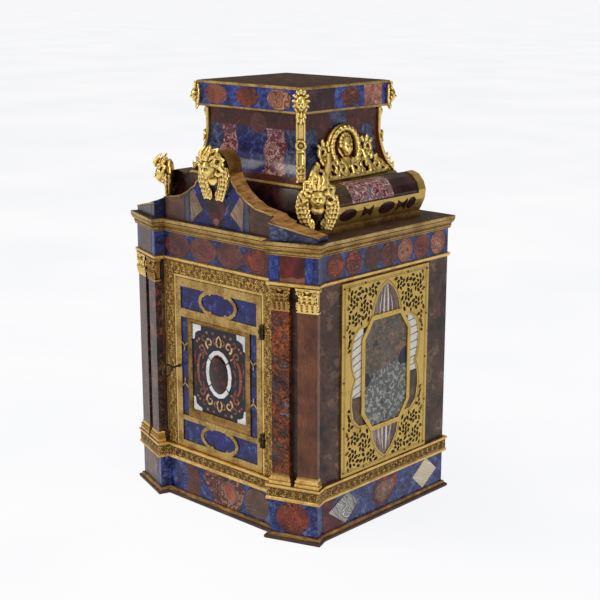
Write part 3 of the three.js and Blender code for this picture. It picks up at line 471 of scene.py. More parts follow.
HEART_OUTLINE = [(-6, 38), (4, 50), (20, 54), (36, 52), (50, 53), (49, 40), (42, 26), (30, 15), (14, 12),
    (2, 20), (-4, 28)]
side_stones = []
for place, way in ((RIGHT_SIDE, 1), (LEFT_SIDE, -1)):
    def along(points, way=way):
        return [(way * x, y) for x, y in points]

    side_stones += [
        (place, along([(-108, 9.5), (-64, 9.5), (-92, 40), (-78, 56.5), (-108, 56.5)]), front_red),
        (place, along([(-57, 56), (-96, 36), (-62, 11), (-34, 36)]), zebra, 0.5),
        (place, along(HEART_OUTLINE), red_rim), (place, along(inset(HEART_OUTLINE, 5.5)), heart, 0.5),
        (place, along([(116, 56), (142, 33), (110, 11), (86, 33)]), cream),
    ]
inlay("plinth_stones", [
        (LEFT_PIER, block(-33, 25, 10, 56.5), grey_stone),
        (LEFT_PIER, oval(-4, 34, 25, 20), left_oval, 0.5),
        (FRONT, [(-72, 9.5), (-46, 9.5), (-40, 30), (-50, 56.5), (-74, 56.5), (-66, 34)], red_brown),
        (FRONT, [(-36, 44), (-24, 56.5), (40, 56.5), (50, 42), (40, 14), (34, 9.5), (-8, 9.5), (-16, 20)],
            eye_agate),
        (FRONT, [(2, 44), (18, 51), (30, 44), (38, 30), (24, 16), (10, 24)], eye_rim, 0.4),
        (FRONT, [(7, 41), (18, 46), (27, 40), (33, 30), (24, 20), (14, 26)], eye_heart, 0.55),
        (FRONT, oval(73, 32, 24, 21.5, wobble=0.02), swirl),
        (RIGHT_PIER, oval(-1, 32.5, 24, 22.5, wobble=0.015), pier_oval), *side_stones,
    ])

# Gilt band over the plinth
# Cast and chased bronze gilt strips are pinned round the case below the door, with leaf scrolls on a
# punched ground between two plain fillets. The recesses are brown with old dirt and with painted shade.
BAND_LOW = 61.2
BAND_HIGH = 74.6
BAND_REACH = 3.4
RELIEF = 1.0


def gilding(name, bright, dull, dirt_and_shade_colour, hollow=2.5, rough=0.3, worn=0.45, chased=False):
    """Fire gilding: bright on the high places, brown in the hollows, rubbed in patches. The brown in the
    hollows is old dirt and painted shade, taken from an occlusion reading; on chased pieces the crests are
    also painted lighter as a highlight. hollow is in mm.

    A chased piece carries its own height at each point, from 0 in the hollows to 1 on the crests.
    """
    finish = Finish(name, Metallic=1.0)
    # Painted shade: the occlusion reading below darkens hollows and the gaps between parts towards the dark
    # brown colour, standing in for shade as well as old dirt.
    shade = finish.node("AmbientOcclusion", {"samples": 8}, {"Distance": hollow * MM}, "AO")
    patches = finish.noise(38, 5.0)
    fine = finish.noise(360, 4.0)
    grime_and_shade = 1 - shade.above(0.6, 0.6)
    high = patches * 0.6 + fine * 0.4
    if chased:
        # Painted shade and highlight: on chased pieces the relief's low places are darkened and its crests
        # mixed towards the bright gold, from the stored height alone.
        height = finish.node("Attribute", {"attribute_name": "height"}, {}, "Fac")
        grime_and_shade = grime_and_shade * 0.4 + (1 - height.above(0.34, 0.34)) * 0.85
        high = high * 0.4 + height * 0.5
    gold = finish.mix(dull, bright, high.above(worn, 0.28))
    dark = grime_and_shade * 0.9 + patches.above(0.62, 0.1) * fine.above(0.55, 0.12) * 0.45
    finish.feed(
        Base_Color=finish.mix(gold, dirt_and_shade_colour, dark), Roughness=rough + 0.2 * patches + 0.3 * dark,
        Metallic=1 - 0.5 * dark, Normal=finish.bump(fine, 0.45, 0.0004),
    )
    return finish


def smooth_step(value, low, high):
    share = np.clip((value - low) / (high - low), 0, 1)
    return share * share * (3 - 2 * share)


def leaf_scrolls(u, v, pitch):
    """Height from 0 to 1 of crowded leaves and flowers, each chased by hand. u and v are in mm."""
    best = np.full(u.shape, 1e9)
    best_angle, best_number = np.zeros(u.shape), np.zeros(u.shape)
    column, row = np.floor(u / pitch), np.floor(v / pitch)
    for across in (-1, 0, 1):
        for up in (-1, 0, 1):
            number = (column + across) * 12.9898 + (row + up) * 78.233
            middle_u = (column + across + 0.5 + 0.36 * np.sin(number * 3.1)) * pitch
            middle_v = (row + up + 0.5 + 0.3 * np.sin(number * 5.3 + 1)) * pitch
            reach = np.hypot(u - middle_u, v - middle_v) / pitch
            nearer = reach < best
            best = np.where(nearer, reach, best)
            best_angle = np.where(nearer, np.arctan2(v - middle_v, u - middle_u), best_angle)
            best_number = np.where(nearer, number, best_number)
    leaves = 3 + np.floor(2.99 * (0.5 + 0.5 * np.sin(best_number * 7.7)))
    twist = best_number + 4.5 * best * np.sin(best_number * 2.9)
    petals = smooth_step(np.cos(leaves * (best_angle + twist)), -0.35, 0.6) * smooth_step(best, 0.72, 0.45)
    ribs = 0.72 + 0.28 * np.cos(leaves * 4 * (best_angle + twist))
    boss = smooth_step(best, 0.16, 0.07) * (0.6 + 0.4 * np.sin(best_number))
    punched = 0.1 + 0.1 * np.cos(u * 5.3 + 2 * np.sin(v * 4)) * np.cos(v * 4.7)
    return np.maximum.reduce([petals * ribs * (0.75 + 0.25 * np.sin(best_number * 1.7)), boss, punched])


def sheet_of(place, width, height, step, relief, base):
    """A grid over a wall, from 0 to width and 0 to height in mm, raised by relief(u, v) over its base."""
    across, up = max(2, round(width / step)), max(2, round(height / step))
    u, v = np.meshgrid(np.linspace(0, width, across + 1), np.linspace(0, height, up + 1))
    raised = relief(u, v)
    out = base + raised
    out[0, :] = out[-1, :] = base - 0.4
    out[:, 0] = out[:, -1] = base - 0.4
    local = np.stack([u.ravel(), v.ravel(), out.ravel(), np.ones(u.size)])
    points = (np.array(place) @ local)[:3].T
    row = across + 1
    first = np.add.outer(np.arange(up) * row, np.arange(across)).ravel()
    faces = np.stack([first, first + 1, first + row + 1, first + row], 1)
    return points, faces, raised.ravel()


def keep_height(made, heights):
    made.data.attributes.new("height", "FLOAT", "POINT").data.foreach_set("value", np.clip(heights, 0, 1))


def relief_piece(name, sheets, finish, body="cabinet"):
    """Relief strips joined into one piece."""
    points, faces, start = [], [], 0
    for sheet_points, sheet_faces, _ in sheets:
        points.append(sheet_points)
        faces.append(sheet_faces + start)
        start += len(sheet_points)
    every_face = np.concatenate(faces).tolist()
    made = piece(name, np.concatenate(points).tolist(), every_face, [finish], body, smooth=True)
    keep_height(made, np.concatenate([raised for _, _, raised in sheets]))
    return made


bright_gilt = gilding("bright_gilt", tint(226, 190, 116), tint(168, 126, 62), tint(52, 32, 15))
chased_gilt = gilding("chased_gilt", tint(236, 204, 122), tint(166, 124, 58), tint(40, 25, 11), 1.6, 0.26,
    0.5, True)
dress(["plinth_band"], bright_gilt)


def plan_edges(reach):
    """The walls of the cabinet's plan, from the back of the right side round the front to the left."""
    outer = pier_middle + pier_along * PIER_WIDTH / 2
    side_front = outer - pier_out * ((outer.x - HALF_WIDTH) / pier_out.x)
    right = [Vector((HALF_WIDTH, 155.3)), side_front, outer, pier_inner, Vector((BAY_HALF, FRONT_Y))]
    loop = right + [Vector((-p.x, p.y)) for p in reversed(right)]
    outward = []
    for start, end in zip(loop, loop[1:] + loop[:1]):
        side = (end - start).normalized()
        outward.append(Vector((-side.y, side.x)))
    moved = []
    for i, point in enumerate(loop):
        before, after = outward[i - 1], outward[i]
        moved.append(point + (before + after) * (reach / (1 + before.dot(after))))
    for start, end in zip(moved, moved[1:] + moved[:1]):
        side = start - end
        yield wall(end.x, end.y, math.degrees(math.atan2(side.y, side.x))), side.length


def band_relief(u, v):
    height = BAND_HIGH - BAND_LOW
    edge = smooth_step(np.minimum(v, height - v), 0.5, 1.4)
    return RELIEF * leaf_scrolls(u, v, 6.0) * edge


band_sheets = []
for place, length in plan_edges(BAND_REACH):
    raised = place @ Matrix.Translation((0, BAND_LOW, 0))
    band_sheets.append(sheet_of(raised, length, BAND_HIGH - BAND_LOW, 0.5, band_relief, 0.05))
relief_piece("plinth_band_scrolls", band_sheets, chased_gilt)

# Case
# The wooden case is veneered outside with slabs of purple and grey breccia and is bare wood inside.
# Its back is a plain stained board, because it stands against a wall.
wall_stone = mottled("wall_stone", [(0.36, tint(24, 14, 15)), (0.44, tint(72, 44, 40)),
        (0.5, tint(104, 72, 58)), (0.54, tint(60, 38, 42)), (0.6, tint(140, 116, 100)),
        (0.68, tint(52, 36, 36))], 30, 1.0)
inside_wood = wood("inside_wood", [tint(44, 26, 18), tint(92, 58, 36), tint(128, 88, 56)], 60, 0.6)
dress(["case_floor", "case_ceiling", "back_board"], inside_wood)
VENEER_FROM = 172
dress(["side_board_right", "side_board_left"], wall_stone, inside_wood,
    rule=lambda centre, normal: int(abs(centre.x) < VENEER_FROM))
dress(["pier_right", "pier_left"], wall_stone, inside_wood, rule=lambda centre, normal: int(normal.y > 0.5))

# Pilasters
# Flat shafts of jasper stand in pairs on the canted piers: a broken orange and black one beside the
# door and a plain red-brown one at the corner, each between a moulded base and a leafy capital.
FIRE = [(0.3, tint(20, 11, 9)), (0.4, tint(96, 46, 20)), (0.48, tint(204, 112, 44)),
    (0.54, tint(44, 21, 14)),
    (0.6, tint(178, 78, 34)), (0.66, tint(34, 16, 14)), (0.76, tint(150, 148, 160))]
broken_jasper = breccia("broken_jasper", FIRE, 58, tint(18, 11, 11), 0.06, 1.0)
red_jasper = banded("red_brown_jasper", [tint(84, 50, 42), tint(146, 94, 64), tint(112, 68, 48),
        tint(160, 110, 74), tint(88, 50, 46)], (0.94, 0.34, 0.03), 70, 0.012, 2.0)
DUSKY = [(0.34, tint(30, 16, 15)), (0.45, tint(92, 50, 34)), (0.53, tint(156, 96, 58)),
    (0.6, tint(84, 62, 56)), (0.68, tint(40, 22, 20))]
dusky_jasper = breccia("dusky_jasper", DUSKY, 50, tint(28, 16, 18), 0.05, 6.0)
plum_jasper = banded("plum_jasper", [tint(60, 38, 36), tint(112, 76, 62), tint(78, 48, 44), tint(146, 116,
            100), tint(56, 34, 36)],
    (0.94, -0.34, 0.02), 70, 0.014, 4.0)
dress(["pilaster_inner_right"], broken_jasper)
dress(["pilaster_outer_right"], red_jasper)
dress(["pilaster_inner_left"], dusky_jasper)
dress(["pilaster_outer_left"], plum_jasper)
dress([f"pilaster_base_{side}" for side in ("inner_right", "outer_right", "inner_left", "outer_left")],
    bright_gilt)

# Capitals
# Each capital is a hollow casting in gilt bronze: two rows of cut leaves round a bell, small scrolls
# at the corners and a hollow-sided slab on top. The pair by the door is duller than the corner pair.
CAPITAL_FOOT = 319.0
CAPITAL_TOP = 351.7
PILASTER_DEPTH = 8.7


def ball(centre, radii, turn=0.0, tip=0.0, segments=12, rings=8):
    """An egg-shaped lump, turned in the wall's plane and tipped out of it, in degrees."""
    made = bmesh.new()
    bmesh.ops.create_uvsphere(made, u_segments=segments, v_segments=rings, radius=1)
    spin = Matrix.Rotation(math.radians(turn), 4, "Z") @ Matrix.Rotation(math.radians(tip), 4, "X")
    made.transform(Matrix.Translation(centre) @ spin @ Matrix.Diagonal((*radii, 1)))
    return made


def bar(corners_low, corners_high):
    """A block between two four-cornered faces, which are lists of points."""
    made = bmesh.new()
    low = [made.verts.new(p) for p in corners_low]
    high = [made.verts.new(p) for p in corners_high]
    made.faces.new(low[::-1])
    made.faces.new(high)
    for i in range(4):
        made.faces.new((low[i], low[(i + 1) % 4], high[(i + 1) % 4], high[i]))
    return made


def tube(path, radii, sides=8, flat=1.0):
    """A round bar along a path, with a radius at each point and closed ends. flat squeezes it in depth."""
    made = bmesh.new()
    rings = []
    for i, point in enumerate(path):
        ahead = Vector(path[min(i + 1, len(path) - 1)]) - Vector(path[max(i - 1, 0)])
        ahead.normalize()
        side = ahead.cross(Vector((0, 0, 1)))
        side = side.normalized() if side.length > 0.01 else Vector((1, 0, 0))
        over = side.cross(ahead) * flat
        ring = []
        for k in range(sides):
            angle = 2 * math.pi * k / sides
            offset = (side * math.cos(angle) + over * math.sin(angle)) * radii[i]
            ring.append(made.verts.new(Vector(point) + offset))
        rings.append(ring)
    for low, high in zip(rings, rings[1:]):
        for k in range(sides):
            made.faces.new((low[k], low[(k + 1) % sides], high[(k + 1) % sides], high[k]))
    made.faces.new(rings[0][::-1])
    made.faces.new(rings[-1])
    bmesh.ops.recalc_face_normals(made, faces=made.faces)
    return made


def spiral(centre, start, turns, outer, inner, z=0.0, lift=0.0, hand=1, steps=26):
    """The path of a scroll that winds in to its eye."""
    path = []
    for i in range(steps + 1):
        share = i / steps
        angle = math.radians(start) + hand * 2 * math.pi * turns * share
        reach = outer + (inner - outer) * share ** 0.85
        x, y = centre[0] + reach * math.cos(angle), centre[1] + reach * math.sin(angle)
        path.append((x, y, z + lift * share))
    return path


def local_height(mesh, points, rounds=9, span=0.42):
    """How far each point stands out of its surroundings: 0 in a hollow, 0.5 on a plain and 1 on a crest."""
    edges = np.empty(len(mesh.edges) * 2, dtype=int)
    mesh.edges.foreach_get("vertices", edges)
    start, end = edges.reshape(-1, 2).T
    count = np.maximum(1, np.bincount(start, minlength=len(points)) + np.bincount(end,
            minlength=len(points)))
    smoothed = points.copy()
    for _ in range(rounds):
        total = np.zeros_like(smoothed)
        np.add.at(total, start, smoothed[end])
        np.add.at(total, end, smoothed[start])
        smoothed = 0.3 * smoothed + 0.7 * total / count[:, None]
    normals = np.empty(len(mesh.vertices) * 3)
    mesh.vertices.foreach_get("normal", normals)
    return 0.5 + ((points - smoothed) * normals.reshape(-1, 3)).sum(1) / (2 * span)


def cast(name, parts, voxel, places, finish, bend=None, smoothing=2, limits=None):
    """Parts melted together into one casting, and a copy of it at each place. Sizes are in mm."""
    whole = bmesh.new()
    for part in parts:
        scratch = bpy.data.meshes.new("scratch")
        part.to_mesh(scratch)
        part.free()
        whole.from_mesh(scratch)
        bpy.data.meshes.remove(scratch)
    rough = bpy.data.meshes.new(name + "_rough")
    whole.to_mesh(rough)
    whole.free()
    holder = bpy.data.objects.new(name + "_rough", rough)
    bpy.context.scene.collection.objects.link(holder)
    melt = holder.modifiers.new("melt", "REMESH")
    melt.mode = "VOXEL"
    melt.voxel_size = voxel
    soften = holder.modifiers.new("soften", "SMOOTH")
    soften.iterations = smoothing
    soften.factor = 0.5
    graph = bpy.context.evaluated_depsgraph_get()
    cast_mesh = bpy.data.meshes.new_from_object(holder.evaluated_get(graph))
    bpy.data.objects.remove(holder)
    points = np.empty(len(cast_mesh.vertices) * 3)
    cast_mesh.vertices.foreach_get("co", points)
    points = points.reshape(-1, 3)
    heights = local_height(cast_mesh, points)
    if bend:
        points = bend(points)
    if limits:
        points = np.clip(points, limits[0], limits[1])
    faces = [tuple(face.vertices) for face in cast_mesh.polygons]
    made = []
    for label, place in places.items():
        placed = (np.array(place) @ np.column_stack([points, np.ones(len(points))]).T)[:3].T
        casting = piece(f"{label}_casting", placed.tolist(), faces, [finish], smooth=True)
        keep_height(casting, heights)
        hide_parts(label)
        made.append(casting)
    bpy.data.meshes.remove(cast_mesh)
    return made


def cut_leaf(x, foot, top, width, out, lean):
    """A leaf with lobes that climbs the bell and curls forward at its tip."""
    tall = top - foot
    rib = [(x, foot, out), (x, foot + tall * 0.6, out + 1.2), (x, top - 1.5, out + lean),
        (x, top - 4, out + lean + 1.8)]
    leaf = [tube(rib, [width * 0.42, width * 0.42, width * 0.36, width * 0.22], 8, 0.8)]
    for side in (-1, 1):
        for share, spread, length in ((0.15, 0.85, 0.34), (0.42, 0.95, 0.34), (0.7, 0.85, 0.3)):
            centre = (x + side * width * spread * 0.5, foot + tall * (share + 0.1),
                out + lean * share * 0.8)
            leaf.append(ball(centre, (width * 0.26, tall * length * 0.5, 1.5), -side * 38, 14, 8, 6))
    return leaf


def leafy_capital(half):
    """The parts of a capital for a shaft of that half width."""
    foot, top = CAPITAL_FOOT, CAPITAL_TOP

    def level(reach, z):
        wide = half + reach
        return [(-wide, z, -PILASTER_DEPTH + 0.4), (wide, z, -PILASTER_DEPTH + 0.4), (wide, z, reach),
            (-wide, z, reach)]

    parts = [
        bar(level(1.2, foot), level(1.2, foot + 2.6)), bar(level(-0.7, foot + 1.5), level(-0.4, top - 4)),
        bar(level(2.0, top - 4.0), level(2.8, top)),
    ]
    for share in (-0.8, -0.27, 0.27, 0.8):
        parts += cut_leaf(share * half, foot + 2.5, foot + 15, half * 0.5, 0.0, 2.4)
    for share in (-0.54, 0.0, 0.54):
        parts += cut_leaf(share * half, foot + 10, foot + 25, half * 0.5, -0.2, 3.2)
    for side in (-1, 1):
        path = spiral((side * (half - 2.2), top - 8.2), 90 - side * 90, 1.2, 3.6, 0.8, 1.2, 0.6, side)
        parts.append(tube(path, np.linspace(1.3, 0.8, len(path)), 8))
        parts.append(tube([(side * 2.5, foot + 18, -0.4), (side * half * 0.5, top - 6, 0.6),
                    (side * (half - 1), top - 5, 1.6)],
                [1.1, 1.2, 1.2], 8))
    parts.append(ball((0, top - 3.2, 2.0), (3.2, 3.0, 1.6)))
    return parts


def on_pier(along, side):
    """The wall of a pilaster in the middle of a stretch along the pier's face."""
    middle = pier_inner + pier_along * along
    return wall(side * middle.x, middle.y, side * PIER_TURN)


dull_gilt = gilding("dull_gilt", tint(196, 158, 92), tint(122, 86, 42), tint(28, 17, 9), 3.0, 0.34, 0.52,
    True)
leaf_gilt = gilding("leaf_gilt", tint(242, 212, 132), tint(166, 122, 56), tint(36, 22, 10), 3.0, 0.24, 0.46,
    True)
INNER_HALF = 12.6
OUTER_HALF = 14.1
INNER_ALONG = 15.8
OUTER_ALONG = 54.7
cast("capital_inner", leafy_capital(INNER_HALF), 0.62,
    {f"capital_inner_{name}": on_pier(INNER_ALONG, side) for name, side in (("right", 1), ("left", -1))},
    dull_gilt)
cast("capital_outer", leafy_capital(OUTER_HALF), 0.62,
    {f"capital_outer_{name}": on_pier(OUTER_ALONG, side) for name, side in (("right", 1), ("left", -1))},
    leaf_gilt)

# Door frame
# A board faced with chased bronze gilt surrounds the door. Leaf scrolls cover its stiles and its top
# rail, and a narrow plain edge runs round the opening.
OPENING_HALF = 85.4
OPENING_TOP = 330.6
CASE_TOP = 352.0
PLAIN_EDGE = 3.0
dress(["door_frame"], bright_gilt)


def stile_relief(width):
    def relief(u, v):
        edge = smooth_step(np.minimum.reduce([u, width - u]), 0.4, 1.6)
        return 0.15 + 0.85 * leaf_scrolls(u, v, 6.2) * edge
    return relief


def rail_relief(height):
    def relief(u, v):
        edge = smooth_step(np.minimum(v, height - v), 0.4, 1.6)
        return 0.15 + 0.85 * leaf_scrolls(u, v, 6.2) * edge
    return relief


stile_width = BAY_HALF - OPENING_HALF - PLAIN_EDGE
rail_height = CASE_TOP - OPENING_TOP - PLAIN_EDGE
frame_sheets = []
for start in (OPENING_HALF + PLAIN_EDGE, -BAY_HALF):
    stile = FRONT @ Matrix.Translation((start, 79.3, 0))
    frame_sheets.append(sheet_of(stile, stile_width, OPENING_TOP + PLAIN_EDGE - 79.3, 0.5,
            stile_relief(stile_width), 0.1))
rail = FRONT @ Matrix.Translation((-BAY_HALF, OPENING_TOP + PLAIN_EDGE, 0))
frame_sheets.append(sheet_of(rail, 2 * BAY_HALF, rail_height, 0.5, rail_relief(rail_height), 0.1))
relief_piece("door_frame_scrolls", frame_sheets, chased_gilt)

# Door
# The wooden leaf carries lapis plates under a sawn sheet of gilt bronze: a border, two bars and an
# oval ring above and below. Its edges are bare dark wood.
door_wood = wood("door_wood", [tint(30, 18, 13), tint(72, 44, 28), tint(104, 70, 44)], 110, 0.5)
door_lapis = lapis_stone("door_lapis", tint(22, 26, 104), tint(36, 50, 142), 60, 0.74, 3.0)
clear_lapis = lapis_stone("clear_lapis", tint(20, 14, 112), tint(34, 30, 142), 40, 0.82, 8.0)
pale_gilt = gilding("pale_gilt", tint(200, 170, 106), tint(134, 102, 52), tint(52, 34, 17), 2.0, 0.32, 0.5)
dress(["door_leaf"], door_wood)
dress(["door_stone"], door_lapis)
dress(["door_grille"], pale_gilt)
STONE_FACE = FRONT_Y + 1.2
DOOR_STONE = wall(0, STONE_FACE, 0)
OVAL_HEIGHTS = (105.0, 302.3)
inlay("door_oval_stones", [(DOOR_STONE, oval(0, height, 32.4, 14.4, 36), clear_lapis)
        for height in OVAL_HEIGHTS],
    "door")

nubs = []
for height in OVAL_HEIGHTS:
    for side, up in ((-1, -1), (1, -1), (-1, 1), (1, 1)):
        nubs.append((DOOR_STONE, oval(side * 15, height + up * 13.2, 2.6, 2.2, 10), pale_gilt, 1.5))
for side in (-1, 1):
    for height, way in ((230, 1), (178, -1)):
        for leg in (-1, 1):
            x = side * 69
            tip = [(x, height), (x + leg * 6.4, height + way * 5.5), (x + leg * 6.4, height + way * 8),
                (x - leg * 0.8, height + way * 2.4)]
            nubs.append((DOOR_STONE, tip, pale_gilt, 1.5))
        nubs.append((DOOR_STONE, block(side * 69 - 1, side * 69 + 1, min(height - way * 6, height),
                    max(height - way * 6, height)),
                pale_gilt, 1.5))
inlay("door_cusps", nubs, "door")

# Door's middle panel
# A hard-stone picture in a moulded frame: orange-brown scrolls on a dark ground round a white ring,
# white corner pieces and small flowers of pink, white and yellow stone, all flush with each other.
PANEL = (53.2, 141.3, 267.7)
PANEL_MIDDLE = 203.0
ground_stone = mottled("panel_ground", [(0.35, tint(10, 10, 22)), (0.5, tint(20, 20, 56)),
        (0.66, tint(34, 40, 104))], 34, 3.0)
scroll_stone = mottled("scroll_stone", [tint(84, 36, 18), tint(176, 92, 44), tint(120, 56, 26),
        tint(224, 156, 96)], 150, 2.0,
    aged=0.3)
cream_scroll = mottled("cream_scroll", [tint(170, 96, 50), tint(232, 196, 140), tint(214, 150, 90)], 130,
    4.0, aged=0.2)
red_stone = mottled("red_stone", [tint(92, 30, 26), tint(140, 58, 44), tint(164, 86, 70)], 120, 1.0)
white_stone = mottled("white_stone", [tint(206, 210, 216), tint(232, 234, 238), tint(246, 247, 250)], 80,
    2.0, aged=0.15)
pink_stone = mottled("pink_stone", [tint(176, 96, 96), tint(212, 150, 146)], 120, 3.0)
yellow_stone = mottled("yellow_stone", [tint(176, 140, 50), tint(222, 194, 96)], 120, 4.0)


def tapered(path, widths):
    """The outline of a band along a path, as wide as the widths say."""
    left, right = [], []
    for i, (x, y) in enumerate(path):
        ahead = (path[min(i + 1, len(path) - 1)][0] - path[max(i - 1, 0)][0],
            path[min(i + 1, len(path) - 1)][1] - path[max(i - 1, 0)][1])
        length = math.hypot(*ahead) or 1
        side = (-ahead[1] / length * widths[i] / 2, ahead[0] / length * widths[i] / 2)
        left.append((x + side[0], y + side[1]))
        right.append((x - side[0], y - side[1]))
    return left + right[::-1]


def strips(path, widths):
    """The same band as short four-sided stones, so that it may curl on itself."""
    return [tapered(path[i:i + 2], widths[i:i + 2]) for i in range(len(path) - 1)]


panel_parts = [(DOOR_STONE, block(-PANEL[0], PANEL[0], PANEL[1], PANEL[2]), ground_stone, 0.15)]
for sx in (-1, 1):
    for sy in (-1, 1):
        def spot(x, y, sx=sx, sy=sy):
            return sx * x, PANEL_MIDDLE + sy * y

        curls = (
            ((19, 42), 285, 1.05, 8.5, 2.2, 1, cream_scroll, 3.6),
            ((35, 31), 255, 1.1, 7.5, 2.0, -1, scroll_stone, 3.6),
            ((30, 48), 180, 0.9, 6.5, 2.0, 1, scroll_stone, 2.6),
            ((7, 47), 250, 0.8, 5.5, 1.8, 1, scroll_stone, 2.6),
        )
        for centre, start, turns, outer, inner, hand, finish, wide in curls:
            winding = [spot(x, y) for x, y, _ in spiral(centre, start, turns, outer, inner, hand=hand,
                    steps=18)]
            widths = np.linspace(wide, wide * 0.55, len(winding))
            panel_parts += [(DOOR_STONE, bit, finish) for bit in strips(winding, widths)]
        limbs = (
            ([(36, 24), (40.5, 17), (42.5, 8), (42.8, 0)], scroll_stone, (3.0, 3.8, 4.4, 4.6)),
            ([(23, 25), (28, 27), (31, 23), (33, 16)], scroll_stone, (2.4, 3.4, 3.0, 1.4)),
            ([(28, 12), (32, 8), (33, 2)], red_stone, (2.6, 3.4, 2.8)),
            ([(47, 26), (49, 16), (48, 6)], red_stone, (2.0, 3.6, 2.4)),
            ([(2, 39), (5, 43), (4, 50), (0, 55)], cream_scroll, (2.0, 2.8, 2.6, 1.6)),
        )
        for path, finish, widths in limbs:
            panel_parts += [(DOOR_STONE, bit, finish) for bit in strips([spot(x, y) for x, y in path],
                    widths)]
        corner = [spot(53, 64.3), spot(53, 42), spot(49, 43), spot(47.5, 52), spot(42, 55.5), spot(36, 57),
            spot(35.5, 64.3)]
        panel_parts.append((DOOR_STONE, corner, white_stone))
        for x, y, finish in ((12, 57, pink_stone), (24, 56, yellow_stone), (44, 40, pink_stone),
                (40, 44, yellow_stone)):
            panel_parts.append((DOOR_STONE, oval(*spot(x, y), 2.4, 2.1, 8), finish, 0.35))
inlay("panel_stones", panel_parts, "door")

brown_gilt = gilding("brown_gilt", tint(180, 142, 80), tint(104, 72, 36), tint(36, 22, 12), 2.5, 0.36, 0.5)
dress(["panel_frame"], brown_gilt)
dress(["oval_ring"], white_stone)
ring_joints = []
for degrees in (38, 142, 218, 322):
    angle = math.radians(degrees)
    inner = (18.8 * math.cos(angle), PANEL_MIDDLE + 27.8 * math.sin(angle))
    outer = (26.4 * math.cos(angle), PANEL_MIDDLE + 35.4 * math.sin(angle))
    ring_joints.append((DOOR_STONE, tapered([inner, outer], [1.5, 2.0]), ground_stone, 1.45))
inlay("oval_ring_joints", ring_joints, "door")

garnet = Finish("dark_red_cabochon", Specular_IOR_Level=0.35)
garnet_cloud = garnet.noise(90, 5.0, garnet.moved(0.01, 60))
garnet.feed(
    Base_Color=garnet.ramp(garnet_cloud, [(0.35, tint(14, 5, 6)), (0.55, tint(44, 10, 12)),
            (0.7, tint(120, 26, 20))]),
    Roughness=0.1 + 0.15 * garnet_cloud,
)
DOME = (18.6, 27.6, 3.3)
dome_points, dome_faces = [(0, PANEL_MIDDLE, 0.1 + DOME[2])], []
DOME_RINGS, DOME_SIDES = 10, 40
for ring in range(1, DOME_RINGS + 1):
    slope = math.pi / 2 * ring / DOME_RINGS
    for k in range(DOME_SIDES):
        angle = 2 * math.pi * k / DOME_SIDES
        dome_points.append((DOME[0] * math.sin(slope) * math.cos(angle),
                PANEL_MIDDLE + DOME[1] * math.sin(slope) * math.sin(angle),
                0.1 + DOME[2] * math.cos(slope)))
for k in range(DOME_SIDES):
    dome_faces.append((0, 1 + k, 1 + (k + 1) % DOME_SIDES))
    for ring in range(DOME_RINGS - 1):
        low = 1 + ring * DOME_SIDES
        dome_faces.append((low + k, low + DOME_SIDES + k, low + DOME_SIDES + (k + 1) % DOME_SIDES,
                low + (k + 1) % DOME_SIDES))
cabochon = piece("oval_cabochon", [DOOR_STONE @ Vector(p) for p in dome_points], dome_faces, [garnet],
    "door", smooth=True)
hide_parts("oval_stone")

# Hinges and key
# Two small iron butt hinges are pinned to the door and its frame, and an iron key with a round bow
# sits in the lock of the left stile. They are dark and a little rusty from handling.
iron = Finish("dark_iron", Metallic=0.85)
rust = iron.noise(160, 5.0)
iron.feed(
    Base_Color=iron.mix(tint(96, 82, 62), tint(58, 40, 26), rust.above(0.5, 0.2)),
    Roughness=0.32 + 0.35 * rust, Normal=iron.bump(rust, 0.5, 0.0004),
)
dress(["hinge_upper_door", "hinge_lower_door", "hinge_upper_post", "hinge_lower_post"], iron)

KEY_X, KEY_Z = -80.5, 200.0
KEY_FACE = -134.7
KEY_BOW = (8.4, 1.45)
KEY = wall(0, 0, 0)
bow_path = []
for i in range(37):
    angle = 2 * math.pi * i / 36
    bow_path.append((KEY_X + 1 + 0.15 * KEY_BOW[0] * math.cos(angle),
            KEY_Z - 2 + KEY_BOW[0] * math.sin(angle), 159 + KEY_BOW[0] * math.cos(angle)))
key_parts = [
    tube([(KEY_X, KEY_Z, -KEY_FACE), (KEY_X, KEY_Z, 141), (KEY_X, KEY_Z, 146), (KEY_X, KEY_Z, 151.6)],
        [1.6, 1.3, 1.5, 1.3], 16),
    tube([(KEY_X, KEY_Z, 147.2), (KEY_X, KEY_Z, 148), (KEY_X, KEY_Z, 149), (KEY_X, KEY_Z, 149.8)],
        [1.4, 2.7, 2.7, 1.4], 16),
    tube([(KEY_X, KEY_Z, 135.4), (KEY_X, KEY_Z, 136.2)], [2.6, 2.2], 16),
]
key_points, key_faces = [], []
for part in key_parts:
    start = len(key_points)
    part.verts.ensure_lookup_table()
    part.verts.index_update()
    key_points += [KEY @ v.co for v in part.verts]
    key_faces += [tuple(start + v.index for v in face.verts) for face in part.faces]
    part.free()
SIDES = 12
start = len(key_points)
for i, centre in enumerate(bow_path[:-1]):
    angle = 2 * math.pi * i / 36
    out = Vector((0.15 * math.cos(angle), math.sin(angle), math.cos(angle))).normalized()
    for k in range(SIDES):
        turn = 2 * math.pi * k / SIDES
        offset = out * math.cos(turn) * KEY_BOW[1] + Vector((1, 0,
                -0.15)).normalized() * math.sin(turn) * KEY_BOW[1]
        key_points.append(KEY @ (Vector(centre) + offset))
for i in range(36):
    for k in range(SIDES):
        a, b = start + i * SIDES, start + ((i + 1) % 36) * SIDES
        key_faces.append((a + k, a + (k + 1) % SIDES, b + (k + 1) % SIDES, b + k))
key = piece("key_forged", key_points, key_faces, [iron], "door", smooth=True)
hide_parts("key")

